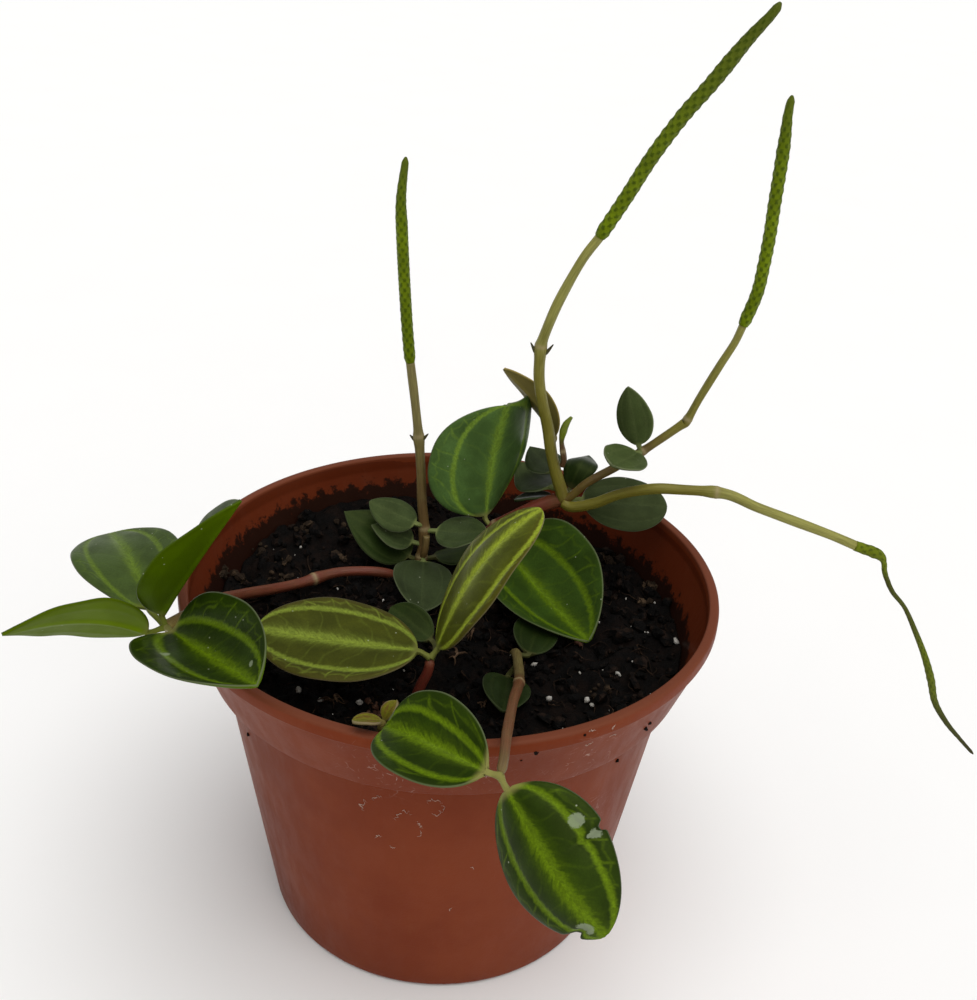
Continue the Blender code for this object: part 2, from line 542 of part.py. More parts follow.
def build_pot():
    """The moulded pot with its drain holes."""
    plastic = finish("terracotta_plastic", (0.25, 0.055, 0.03), 0.5)
    outside, inside = pot_profile()
    pot = turned("pot", outside, inside, 0.0, FLOOR, plastic)
    cutters = []
    for hole in range(DRAIN_HOLES):
        angle = 2 * math.pi * hole / DRAIN_HOLES
        x, y = DRAIN_CIRCLE * math.cos(angle), DRAIN_CIRCLE * math.sin(angle)
        cutters.append(upright_bar("drain", x, y, DRAIN_RADIUS, DRAIN_CUT, DRAIN_SIDES, plastic))
    apply_boolean(pot, cutters, "DIFFERENCE")


def throat(height):
    """Inside radius of the pot at a height above the ledge."""
    share = (height - LEDGE_HEIGHT) / (THROAT_HEIGHT - LEDGE_HEIGHT)
    return LEDGE_RADIUS + (THROAT_RADIUS - LEDGE_RADIUS) * share


def soil_height(x, y):
    """Height of the soil: a level bed, a bank against the back left wall, and seeded round lumps."""
    draw = np.random.default_rng(SOIL_SEED)
    reach = np.hypot(x, y) / SOIL_RADIUS
    aside = (np.degrees(np.arctan2(y, x)) - SOIL_BANK_ANGLE) / SOIL_BANK_SPREAD
    climb = np.clip((reach - SOIL_BANK_START) / (1 - SOIL_BANK_START), 0, 1)
    height = SOIL_LEVEL + SOIL_BANK * np.exp(-aside ** 2) * climb
    for wave in range(SOIL_WAVES):
        heading = draw.uniform(0, 2 * np.pi)
        size = draw.uniform(*SOIL_WAVE_SIZES)
        phase = draw.uniform(0, 2 * np.pi)
        along = x * np.cos(heading) + y * np.sin(heading)
        height = height + SOIL_WAVE_HEIGHT * np.sin(2 * np.pi * along / size + phase)
    return height


def soil_rows(c, s):
    """Rings of the soil's top from its middle to its edge, then down its side."""
    edge = np.maximum(soil_height(LEDGE_RADIUS * c, LEDGE_RADIUS * s), SOIL_LEVEL)
    rings = []
    for share in np.linspace(1, 0, SOIL_RINGS, endpoint=False):
        radius = (throat(edge) - GAP) * share
        height = edge if share == 1 else soil_height(radius * c, radius * s)
        rings.append(np.stack([radius * c, radius * s, height], axis=-1))
    side = [(BASE_RADIUS - 2 * POT_WALL, FLOOR), (BASE_RADIUS - POT_WALL, FLOOR + POT_WALL),
            (UNDER_LEDGE_RADIUS, UNDER_LEDGE), (UNDER_LEDGE_RADIUS, LEDGE_HEIGHT - POT_WALL / 2),
            (LEDGE_RADIUS, LEDGE_HEIGHT + GAP)]
    walls = [np.stack([(radius - GAP) * c, (radius - GAP) * s, 0 * c + height + GAP], axis=-1)
             for radius, height in side]
    return rings[::-1] + walls[::-1]


def build_soil(holes):
    """The potting soil: it fills the pot, with a lumpy top and a plain hole round each stem."""
    peat = finish("potting_soil", (0.012, 0.009, 0.007), 0.95)
    angle = np.arange(POT_SEGMENTS) / POT_SEGMENTS * 2 * np.pi
    rows = soil_rows(np.cos(angle), np.sin(angle))
    centre = float(soil_height(np.array(0.0), np.array(0.0)))
    points = np.vstack(rows + [[(0, 0, centre), (0, 0, FLOOR + GAP)]])
    soil = add_mesh("soil", points, ring_faces(len(rows), POT_SEGMENTS), peat)
    cutters = []
    for route, radius in holes:
        foot = np.array(route[0], dtype=float) - GAP * unit(np.subtract(route[1], route[0]))
        path = smooth_path([foot] + list(route[1:]), STEM_STEP)
        path = path[:1 + int(np.argmax(path[:, 2] > SOIL_LEVEL + SOIL_BANK))]
        cutters.append(tube("hole", path, radius + STEM_CLEARANCE, peat))
    apply_boolean(soil, cutters, "DIFFERENCE")


def build_stems():
    """All the stems that carry leaves and spikes."""
    red = finish("red_stem", (0.22, 0.06, 0.04), 0.5)
    brown = finish("brown_stem", (0.2, 0.12, 0.05), 0.5)
    olive = finish("olive_stem", (0.22, 0.17, 0.04), 0.5)
    stem("runner_stem", red)
    stem("front_left_stem", red)
    upright = stem("upright_stem", brown)
    grown = [stem("stub", brown)] + [bract(*sizes, brown) for sizes in UPRIGHT_BRACTS]
    apply_boolean(upright, grown, "UNION")
    stem("hanging_stem", brown)
    right = stem("right_stem", red)
    forks = [stem(name, olive) for name in ("tall_fork", "right_fork", "arch_fork")]
    apply_boolean(right, forks + [bract(*sizes, brown) for sizes in TALL_BRACTS], "UNION")


def build_spikes():
    """Three living flower spikes, the withered one, and a young shoot."""
    green = finish("spike_green", (0.1, 0.2, 0.02), 0.45)
    for name, (route, radius, bare) in SPIKES.items():
        spike(name, route, radius, bare, green)
    dry = finish("spike_dry", (0.1, 0.1, 0.03), 0.7)
    path = clear_of_stem(smooth_path(WITHERED_SPIKE, WITHERED_STEP))
    radius = np.interp(np.linspace(0, 1, len(path)), *zip(*WITHERED_RADII))
    tube("withered_spike", path, radius, dry, WITHERED_SIDES)
    bud = finish("bud_green", (0.12, 0.25, 0.02), 0.4)
    path = smooth_path(SHOOT, SHOOT_STEP)
    radius = np.interp(np.linspace(0, 1, len(path)), *zip(*SHOOT_RADII))
    tube("young_shoot", path, radius, bud, BRACT_SIDES)


def build_leaves():
    """Every leaf, each on a stalk that stops just off its stem."""
    green = finish("leaf_green", (0.05, 0.12, 0.02), 0.35)
    tan = finish("leaf_tan", (0.25, 0.18, 0.06), 0.5)
    for name, sizes in LARGE_LEAVES.items():
        leaf(name, sizes, STATIONS, green)
    for name, sizes in SMALL_LEAVES.items():
        leaf(name, sizes, SMALL_STATIONS, tan if name == "tan_leaf" else green)


def build_rim_sprout():
    """A short stem just inside the front rim with two young yellowish leaves, one over the lip."""
    yellow = finish("sprout_yellow", (0.3, 0.28, 0.04), 0.45)
    path = smooth_path(SPROUT, STEM_STEP)
    sprout = tube("rim_sprout", path, np.linspace(*SPROUT_RADII, len(path)), yellow)
    young = [leaf(name, sizes, SPROUT_STATIONS, yellow) for name, sizes in SPROUT_LEAVES.items()]
    apply_boolean(sprout, young, "UNION")


def main():
    """Build the whole plant."""
    clear_scene()
    build_pot()
    rooted = [STEMS[name][:2] for name in ("runner_stem", "front_left_stem", "upright_stem", "right_stem",
                                           "hanging_stem")]
    build_soil(rooted + [(SPROUT, SPROUT_RADII[0])])
    build_stems()
    build_spikes()
    build_leaves()
    build_rim_sprout()


main()
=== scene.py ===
"""A beetle peperomia in its nursery pot, dressed as a lesson in cells.

Sizes are in millimetres until make_piece turns them into metres. +Z is up and the plant's front faces -Y.
"""

# %% [markdown]
# # A potted beetle peperomia
# The plant trails over the rim of a small pot. Its large leaves carry yellow-green stripes along
# their veins, and thin knobbly flower spikes stand above them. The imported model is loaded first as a
# fixed frame, and each piece below is then worked out at the very place of the plain piece it stands for.

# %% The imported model
import math

import bmesh
import bpy
import numpy as np
from mathutils import Matrix


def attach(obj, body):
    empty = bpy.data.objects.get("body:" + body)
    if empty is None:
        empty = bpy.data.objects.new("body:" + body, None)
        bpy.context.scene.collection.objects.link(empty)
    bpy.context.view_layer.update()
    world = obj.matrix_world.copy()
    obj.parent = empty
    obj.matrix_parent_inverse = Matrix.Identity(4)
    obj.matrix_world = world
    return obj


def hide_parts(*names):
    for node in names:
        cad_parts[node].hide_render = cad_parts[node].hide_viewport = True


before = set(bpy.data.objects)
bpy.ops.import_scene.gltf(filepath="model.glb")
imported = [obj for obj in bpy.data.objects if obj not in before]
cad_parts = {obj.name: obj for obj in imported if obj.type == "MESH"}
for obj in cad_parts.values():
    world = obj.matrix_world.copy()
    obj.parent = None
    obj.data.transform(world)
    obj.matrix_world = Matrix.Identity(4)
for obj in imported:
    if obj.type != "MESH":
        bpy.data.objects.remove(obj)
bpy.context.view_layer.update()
MM = 0.001
print("nodes in the frame:", len(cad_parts))

# %% [markdown]
# # Camera, floor and light
# The picture looks down on the plant from the front, a little rolled. A camera can be turned by angles,
# but three directions written as a matrix say exactly where it looks, with no order of turns to get wrong.
# A pale floor and two large soft lights stand for a plain studio. They are suns with a wide spread
# instead of lamps nearby, because a sun lights the far floor as much as the near one.

# %% Camera
CAMERA_PLACE = (0.0, -238.1, 236.3)
CAMERA_FORWARD = (0.0272, 0.8767, -0.4803)
CAMERA_UP = (-0.0471, 0.4811, 0.8754)
CAMERA_LENS = 44.62             # mm on a sensor 36 mm high
SENSOR = 36.0


def unit(vector):
    """The same direction with a length of one."""
    vector = np.asarray(vector, dtype=float)
    return vector / np.linalg.norm(vector)


def aimed(item, place, forward, up):
    """Put a camera or a light at a place in millimetres, looking along forward."""
    back = -unit(forward)
    right = unit(np.cross(up, back))
    turn = np.eye(4)
    turn[:3, :3] = np.stack([right, np.cross(back, right), back], axis=1)
    turn[:3, 3] = np.array(place) * MM
    item.matrix_world = Matrix(turn.tolist())
    bpy.context.scene.collection.objects.link(item)
    return item


view = bpy.data.cameras.new("camera")
view.lens = CAMERA_LENS
view.sensor_width = SENSOR
view.sensor_fit = "AUTO"
view.clip_start = 0.01
camera = aimed(bpy.data.objects.new("camera", view), CAMERA_PLACE, CAMERA_FORWARD, CAMERA_UP)
bpy.context.scene.camera = camera


# %% [markdown]
# A material is a small network of nodes. A Field below wraps the output of one node, and a sum such as
# a * b + 0.5 adds the nodes for it, so that each finish further down reads as a short recipe.

# %% Fields of numbers
class Field:
    """A number, colour or vector that nodes work out at each point of a surface."""

    def __init__(self, socket):
        self.socket = socket
        self.tree = socket.id_data

    def sum(self, operation, other=0.0, kind="ShaderNodeMath"):
        """A new field: the given operation on this field and another."""
        return Field(place(self.tree, kind, {0: self, 1: other}, operation=operation).outputs[0])

    def __add__(self, other):
        return self.sum("ADD", other)

    def __sub__(self, other):
        return self.sum("SUBTRACT", other)

    def __mul__(self, other):
        return self.sum("MULTIPLY", other)

    def __truediv__(self, other):
        return self.sum("DIVIDE", other)

    def most(self, other):
        """The larger of two fields at each point."""
        return self.sum("MAXIMUM", other)


def place(tree, kind, inputs, **settings):
    """Add a node, set its settings, and give its inputs numbers, colours or fields."""
    node = tree.nodes.new(kind)
    for key, value in settings.items():
        setattr(node, key, value)
    for key, value in inputs.items():
        if isinstance(value, Field):
            tree.links.new(value.socket, node.inputs[key])
        else:
            node.inputs[key].default_value = value
    return node


# %% Node helpers
def attribute(tree, name, output="Fac"):
    """A number, or with output Vector three numbers, stored at the mesh's points."""
    return Field(place(tree, "ShaderNodeAttribute", {}, attribute_name=name).outputs[output])


def flat_place(tree):
    """The place on the piece's own flat map."""
    return Field(place(tree, "ShaderNodeUVMap", {}, uv_map="flat_map").outputs["UV"])


def fade(value, start, end, high=1.0, low=0.0):
    """A smooth change from high at start to low at end."""
    inputs = {"Value": value, "From Min": start, "From Max": end, "To Min": high, "To Max": low}
    node = place(value.tree, "ShaderNodeMapRange", inputs, interpolation_type="SMOOTHSTEP")
    return Field(node.outputs["Result"])


def mixed(share, first, second):
    """Two colours mixed by a share."""
    inputs = {key: value if isinstance(value, Field) else (*value, 1.0) for key, value in ((6, first), (7, second))}
    return Field(place(share.tree, "ShaderNodeMix", {0: share, **inputs}, data_type="RGBA").outputs[2])


def toned(colour, share):
    """A colour made darker or brighter."""
    return tuple(share * part for part in colour)


def stretched(vector, scale):
    """A vector with each of its three parts multiplied."""
    return vector.sum("MULTIPLY", scale, "ShaderNodeVectorMath")


def noise(vector, scale, detail=3.0, roughness=0.5):
    """Cloudy numbers around one half."""
    inputs = {"Vector": vector, "Scale": scale, "Detail": detail, "Roughness": roughness}
    return Field(place(vector.tree, "ShaderNodeTexNoise", inputs).outputs["Fac"])


def object_mm(tree):
    """The place on the object in millimetres."""
    return stretched(Field(place(tree, "ShaderNodeTexCoord", {}).outputs["Object"]), (1 / MM, 1 / MM, 1 / MM))


def new_finish(name, roughness, specular, tint=(1.0, 1.0, 1.0, 1.0)):
    """A Principled material with its constant inputs, and its node tree."""
    material = bpy.data.materials.new(name)
    material.use_nodes = True
    inputs = material.node_tree.nodes["Principled BSDF"].inputs
    inputs["Roughness"].default_value = roughness
    inputs["Specular IOR Level"].default_value = specular
    inputs["Specular Tint"].default_value = tint
    return material, material.node_tree


def finished(material, colour, rough=None, height=None, distance=0.0):
    """Wire a colour, a roughness and a relief into a material. A height of one stands distance mm proud."""
    tree = material.node_tree
    shader = tree.nodes["Principled BSDF"]
    tree.links.new(colour.socket, shader.inputs["Base Color"])
    if rough:
        tree.links.new(rough.socket, shader.inputs["Roughness"])
    if height:
        bump = place(tree, "ShaderNodeBump", {"Height": height, "Distance": distance * MM, "Strength": 1.0})
        tree.links.new(bump.outputs["Normal"], shader.inputs["Normal"])
    return material


# %% Floor and light
FLOOR_COLOUR = (0.92, 0.92, 0.92)
FLOOR_HALF = 6.0                # metres
FLOOR_HEIGHT = -0.0002          # metres, a hair under the pot
WHITE = (1.0, 1.0, 1.0, 1.0)
WORLD_STRENGTH = 0.42


def build_floor():
    """A wide pale floor just under the pot."""
    mesh = bpy.data.meshes.new("floor")
    corners = [(x * FLOOR_HALF, y * FLOOR_HALF, FLOOR_HEIGHT) for x, y in ((-1, -1), (1, -1), (1, 1), (-1, 1))]
    mesh.from_pydata(corners, [], [(0, 1, 2, 3)])
    floor = bpy.data.objects.new("floor", mesh)
    bpy.context.scene.collection.objects.link(floor)
    material, tree = new_finish("floor_paper", 0.95, 0.0)
    colour = mixed(noise(object_mm(tree), 0.02), FLOOR_COLOUR, toned(FLOOR_COLOUR, 0.98))
    mesh.materials.append(finished(material, colour))


def build_light(name, towards, strength, spread, colour):
    """A large soft light far away, shining along a direction. Its spread is the angle it fills."""
    lamp = bpy.data.lights.new(name, "SUN")
    lamp.energy = strength
    lamp.angle = math.radians(spread)
    lamp.color = colour
    aimed(bpy.data.objects.new(name, lamp), -1000 * unit(towards), towards, (0.1, 0.2, 1.0))


build_floor()
build_light("window_light", (-0.1, 0.15, -1.0), 1.7, 60, (1.0, 0.99, 0.97))
build_light("room_light", (-0.45, 1.0, -0.6), 1.0, 80, (1.0, 0.98, 0.95))
world = bpy.data.worlds.new("studio")
world.use_nodes = True
sky = world.node_tree.nodes["Background"].inputs
sky["Color"].default_value, sky["Strength"].default_value = WHITE, WORLD_STRENGTH
bpy.context.scene.world = world
bpy.context.scene.view_settings.view_transform = "Standard"
print("lights:", [item.name for item in bpy.data.lights])


# %% [markdown]
# # Surfaces from arrays
# Every piece is a grid of points worked out by numpy: rings of points along a path, or rows across a
# leaf. Whole arrays are faster than a loop over vertices, and the formula can be read in one place.
# Numbers that the materials need, such as the distance to a vein, are stored at the same points.

# %% Grid helpers
def smooth_path(route, step):
    """Points about one step apart on a curve through every point of the route.

    Each stretch is a Catmull-Rom cubic, which takes its direction at a point from the points beside it.
    """
    route = np.asarray(route, dtype=float)
    ends = np.vstack([2 * route[0] - route[1], route, 2 * route[-1] - route[-2]])
    path = []
    for before, start, end, after in zip(ends, ends[1:], ends[2:], ends[3:]):
        count = max(1, round(np.linalg.norm(end - start) / step))
        t = (np.arange(count) / count)[:, None]
        path.append(0.5 * (2 * start + (end - before) * t
                           + (2 * before - 5 * start + 4 * end - after) * t ** 2
                           + (3 * start - before - 3 * end + after) * t ** 3))
    return np.vstack(path + [route[-1:]])


def travelled(path):
    """Distance along a path at each of its points."""
    return np.concatenate([[0], np.cumsum(np.linalg.norm(np.diff(path, axis=0), axis=1))])


def carried(path, side):
    """Directions along a path and two square to it, carried along without twisting."""
    along = np.gradient(path, axis=0)
    along = along / np.linalg.norm(along, axis=1)[:, None]
    sides = []
    for direction in along:
        side = unit(side - direction * (side @ direction))
        sides.append(side)
    sides = np.array(sides)
    return along, sides, np.cross(along, sides)


def path_sides(path):
    """The two directions square to a stem's path."""
    first = unit(path[1] - path[0])
    return carried(path, np.cross(first, (0.3, 1.0, 0.2)))[1:]


def round_angles(count):
    """Angles in radians, evenly spaced round a circle."""
    return np.arange(count) / count * 2 * np.pi


def on_circle(angle):
    """Points of a circle with a radius of one."""
    return np.stack([np.cos(angle), np.sin(angle)], axis=-1)


def ring_faces(rings, count):
    """Faces of a tube of rings, with a fan closing each end.

    The rings' points come first, then the middle of the first ring and the middle of the last.
    """
    ring = np.arange(rings - 1)[:, None] * count
    here = np.arange(count)[None, :]
    following = (here + 1) % count
    quads = np.stack([ring + here, ring + following, ring + count + following, ring + count + here], axis=-1)
    i, j = here[0], following[0]
    last = (rings - 1) * count
    foot = np.stack([np.full(count, rings * count), j, i], axis=-1)
    tip = np.stack([np.full(count, rings * count + 1), last + i, last + j], axis=-1)
    return quads.reshape(-1, 4).tolist() + foot.tolist() + tip.tolist()


def make_piece(name, points, faces, material, values=None, flat_map=None, smooth=True):
    """Put points given in millimetres into a new object that rides with the pot.

    values are numbers for the materials, one for each point, and flat_map is a UV for each point.
    """
    mesh = bpy.data.meshes.new(name)
    mesh.from_pydata((np.asarray(points, dtype=float) * MM).tolist(), [], faces)
    for label, numbers in (values or {}).items():
        numbers = np.asarray(numbers, dtype=np.float32)
        kind, field = ("FLOAT", "value") if numbers.ndim == 1 else ("FLOAT_VECTOR", "vector")
        mesh.attributes.new(label, kind, "POINT").data.foreach_set(field, numbers.ravel())
    if flat_map is not None:
        corner = np.empty(len(mesh.loops), dtype=np.int32)
        mesh.loops.foreach_get("vertex_index", corner)
        layer = mesh.uv_layers.new(name="flat_map")
        layer.data.foreach_set("uv", np.asarray(flat_map, dtype=np.float32)[corner].ravel())
    shape = bmesh.new()
    shape.from_mesh(mesh)
    bmesh.ops.recalc_face_normals(shape, faces=shape.faces)
    shape.to_mesh(mesh)
    shape.free()
    if smooth:
        mesh.shade_smooth()
    piece = bpy.data.objects.new(name, mesh)
    bpy.context.scene.collection.objects.link(piece)
    mesh.materials.append(material)
    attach(piece, "root")
    return piece


def ringed(name, path, offsets, values, material, slot, replaced):
    """A closed tube that replaces a plain node.

    offsets gives, for each point of the path and each place round it, how far the skin lies from the
    path to the side, offsets[..., 0], and upwards, offsets[..., 1].
    """
    across, over = path_sides(path)
    points = path[:, None] + offsets[..., :1] * across[:, None] + offsets[..., 1:] * over[:, None]
    count = points.shape[1]
    points = np.vstack([points.reshape(-1, 3), path[:1], path[-1:]])
    full = {}
    for label, numbers in values.items():
        ends = np.stack([numbers[0].mean(axis=0), numbers[-1].mean(axis=0)])
        full[label] = np.concatenate([numbers.reshape(-1, *numbers.shape[2:]), ends])
    piece = make_piece(name, points, ring_faces(len(path), count), material, full)
    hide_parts(replaced)


def joined(shapes, faces):
    """Points and faces of many copies of one shape, taken together."""
    every = faces[None] + (np.arange(len(shapes)) * shapes.shape[1])[:, None, None]
    return shapes.reshape(-1, 3), every.reshape(-1, 4).tolist()


def joined_tubes(rings):
    """Points and faces of many four-sided tubes, given as tube, ring, corner and axis, with closed ends."""
    tubes, steps = rings.shape[:2]
    ring, here = np.arange(steps - 1)[:, None] * 4, np.arange(4)[None, :]
    following = (here + 1) % 4
    sides = np.stack([ring + here, ring + following, ring + 4 + following, ring + 4 + here], axis=-1)
    last = (steps - 1) * 4
    one = np.vstack([sides.reshape(-1, 4), (3, 2, 1, 0), (last, last + 1, last + 2, last + 3)])
    return joined(rings.reshape(tubes, -1, 3), one)


# %% [markdown]
# # The leaves
# A peperomia leaf is thick and fleshy, bowed along its midrib and cupped across it, with the veins
# pressed into the upper face. It could be drawn as an outline and filled, but then it would lie flat.
# Here it is a function of two parameters: u runs along the midrib and v across it, so the outline, the
# bow, the cup, the twist and the pressed veins are all terms of one formula.

# %% Leaf sizes
BLADE = 0.7                     # thickness of a leaf
PETIOLE = 0.65                  # radius of a leaf's stalk
BASE_FULLNESS = 0.55            # lower is a rounder leaf base
LARGE_GRID = (120, 49)          # stations along a large leaf and points across it
SMALL_GRID = (70, 33)
STALK_RINGS = 14
MAP_SCALE = 60.0                # millimetres across the leaf's flat map
VEIN_WIDTH = 0.9                # half width of the groove over a vein
VEIN_DEPTH = 0.16
SWELL = 0.28                    # how far the flesh between the veins rises
WAVE = 0.22                     # ripple of the margin
FULL_WIDTH = 22                 # a leaf this wide has the whole relief, and a narrower one less

# routes that the leaves and the stems share, each a list of points
RUNNER = [(-11, 18.5, 66.5), (-12.5, 18.3, 72.5), (-17.8, 16.8, 75.4), (-27.2, 14.8, 76), (-35.3, 9, 76.3),
          (-41.4, 3, 78), (-46.3, -5.6, 82), (-49.4, -15.8, 87), (-52.3, -25.4, 90.3), (-56.6, -32.2, 91)]
FRONT_LEFT = [(-8, -29.7, 66.5), (-5.6, -29.7, 76), (-3.9, -29.9, 81), (-3.5, -29.6, 84.3)]
RIGHT = [(7, 22, 66.5), (8.6, 23, 79), (9.8, 23.6, 84.6), (16, 24, 89.2), (23, 23.8, 93), (26.8, 22.8, 94.6)]
HANGING = [(15, -3, 66.5), (15.2, -13, 74.4), (15.2, -22.1, 78.2), (14.8, -34.8, 83), (13, -47.8, 88),
           (11.5, -60.4, 90.6), (10.9, -66.5, 90.2), (10.3, -69.8, 88.7)]


# %% Leaf surface
def leaf_axes(heading, rise, roll):
    """Along, left and face directions of a leaf.

    heading turns from +X towards +Y, rise lifts the tip, and roll lifts the left side, in degrees.
    """
    h, r, t = (math.radians(angle) for angle in (heading, rise, roll))
    along = np.array([math.cos(r) * math.cos(h), math.cos(r) * math.sin(h), math.sin(r)])
    up = np.array([-math.sin(r) * math.cos(h), -math.sin(r) * math.sin(h), math.cos(r)])
    left = np.cross(up, along)
    return along, math.cos(t) * left + math.sin(t) * up, math.cos(t) * up - math.sin(t) * left


def blade_middle(size, shape, lobes, u, v, seed, bites, drawn=0.0):
    """Middle surface of a blade in its own axes, and its half width at each station.

    The half width is u^a (1-u)^b, scaled. The midrib bows by arch, the margins lift by cup, the section
    twists from base to tip, and a small seeded ripple runs along the margin. Lobes draw a margin back
    near the foot or forward near the tip, a bite draws one margin in over a short stretch, and a drawn
    leaf runs out to a flap beside its tip.
    """
    length, width = size
    arch, skew, cup_left, cup_right, twist, tip = shape
    left_foot, right_foot, left_tip, right_tip = lobes
    widest = BASE_FULLNESS / (BASE_FULLNESS + tip)
    fullness = u ** BASE_FULLNESS * (1 - u) ** tip / (widest ** BASE_FULLNESS * (1 - widest) ** tip)
    least = 0.9 * PETIOLE * (1 - 0.7 * np.clip((u - 0.6) / 0.4, 0, 1) ** 2)
    half = np.maximum(width / 2 * fullness, least)
    reach = half * np.ones_like(v)
    for side, at, spread, depth in bites:
        inwards = 1 - depth / half * np.exp(-((u - at) / spread) ** 4)
        reach = np.where(side * v > 0, reach * np.clip(inwards, 0.5, 1), reach)
    across = v * reach
    draw = np.random.default_rng(seed)
    phase, waves = draw.uniform(0, 2 * np.pi, 2), draw.uniform(1.6, 2.8, 2)
    ripple = np.where(v > 0, np.sin(2 * np.pi * waves[0] * u + phase[0]),
                      np.sin(2 * np.pi * waves[1] * u + phase[1]))
    ripple = WAVE * min(1, width / FULL_WIDTH) * ripple * np.abs(v) ** 3 * np.sin(np.pi * u)
    lift = np.where(v > 0, cup_left, cup_right) * fullness * np.abs(v) ** 1.5 + ripple
    turn = np.radians(twist) * (u - 0.4)
    rise = arch * 4 * u * (1 - u) * (1 + skew * (2 * u - 1))
    back = np.where(v > 0, left_foot, right_foot) * (1 - u) ** 3
    forward = np.where(v > 0, left_tip, right_tip) * u ** 3
    tip_run = drawn * np.exp(-((u - 0.85) / 0.1) ** 2) * np.clip(-v, 0, 1) ** 3
    grid = np.stack([u * length + tip_run + fullness ** 2 * v ** 2 * (forward - back),
                     across * np.cos(turn) - lift * np.sin(turn),
                     across * np.sin(turn) + lift * np.cos(turn) + rise], axis=-1)
    return grid, half


def grid_normals(grid):
    """Unit normals of a grid of points, from the directions of its rows and columns."""
    normals = np.cross(np.gradient(grid, axis=0), np.gradient(grid, axis=1))
    normals = normals / np.linalg.norm(normals, axis=-1)[..., None]
    centre = normals.shape[1] // 2
    normals[:2] = normals[2, centre]
    normals[-2:] = normals[-3, centre]
    return normals


def vein_distances(veins, u, v, half):
    """Distances over a blade, in millimetres, by the name that the materials know them by.

    They are those to the midrib, to the nearer side vein and to the margin, and outer is how far a point
    lies beyond its side vein. A side vein is a bowed line between its places at the base and the tip.
    """
    left_base, left_tip, right_base, right_tip = veins
    bow = 0.06 * (np.sin(np.pi * u) - 0.6)
    left_vein = left_base + (left_tip - left_base) * u - bow
    right_vein = right_base + (right_tip - right_base) * u + bow
    return {"midrib": np.abs(v) * half,
            "side_vein": np.minimum(np.abs(v - left_vein), np.abs(v - right_vein)) * half,
            "margin": (1 - np.abs(v)) * half,
            "outer": (np.abs(v) - np.where(v > 0, left_vein, -right_vein)) * half}


def blade_faces(grid, half, u, v, near, width):
    """The upper and the lower face of a blade, joined into rings round it.

    The veins are pressed into the upper face, the flesh between them swells and the midrib stands out
    below. The thickness runs out at the margin with the square root of 1 - v^14.
    """
    midrib, side = near["midrib"], near["side_vein"]
    plump = np.clip(half / 11, 0, 1)
    groove = VEIN_DEPTH * (np.exp(-(midrib / VEIN_WIDTH) ** 2) + 0.8 * np.exp(-(side / VEIN_WIDTH) ** 2))
    nearest = np.minimum(np.minimum(midrib, side), near["margin"] * 1.3)
    swelling = SWELL * (1 - np.exp(-nearest / 1.6)) * plump * min(1, width / FULL_WIDTH) ** 2
    rib = 0.5 * (1 - u) ** 1.4 * np.exp(-(midrib / 0.7) ** 2)
    normals = grid_normals(grid) * np.sqrt(np.clip(1 - np.abs(v) ** 14, 0, 1))[..., None]
    top = grid + normals * (BLADE / 2 - groove * plump + swelling)[..., None]
    bottom = grid - normals * (BLADE / 2 - 0.6 * swelling * plump + 0.5 * groove * plump + rib)[..., None]
    return round_blade(top, bottom)


def round_blade(upper, lower):
    """Rows over the upper face and back over the lower one, without the margins a second time."""
    return np.concatenate([upper, lower[:, -2:0:-1]], axis=1)


# %% Leaf piece
def stalk_rings(joint, base, along, left, ring):
    """Rings of a leaf's stalk, from inside the stem to the foot of the blade.

    The path is a cubic Bezier curve that leaves the stem towards the blade and arrives along the midrib.
    The section changes from a round one to the blade's first ring.
    """
    joint, base = np.array(joint, dtype=float), np.array(base, dtype=float)
    reach = np.linalg.norm(base - joint)
    points = [joint, joint + (base - joint) * 0.4, base - along * reach * 0.33, base]
    t = np.linspace(0, 1, STALK_RINGS, endpoint=False)[:, None]
    path = ((1 - t) ** 3 * points[0] + 3 * (1 - t) ** 2 * t * points[1] + 3 * (1 - t) * t ** 2 * points[2]
            + t ** 3 * points[3])
    path = np.vstack([path, base])
    _, sides, overs = carried(path[::-1], left)
    sides, overs = sides[::-1][:-1], -overs[::-1][:-1]
    circle = np.arctan2(ring[:, 1], ring[:, 0])
    round_ring = PETIOLE * on_circle(circle)
    share = np.clip(t[..., None] * 1.15 - 0.1, 0, 1) ** 1.5
    section = round_ring * (1 - share) + ring * share
    section = section * (1 + 0.25 * np.exp(-(t[..., None] / 0.25) ** 2) - 0.1 * np.sin(np.pi * t[..., None]))
    return path[:-1, None] + section[..., :1] * sides[:, None] + section[..., 1:] * overs[:, None]


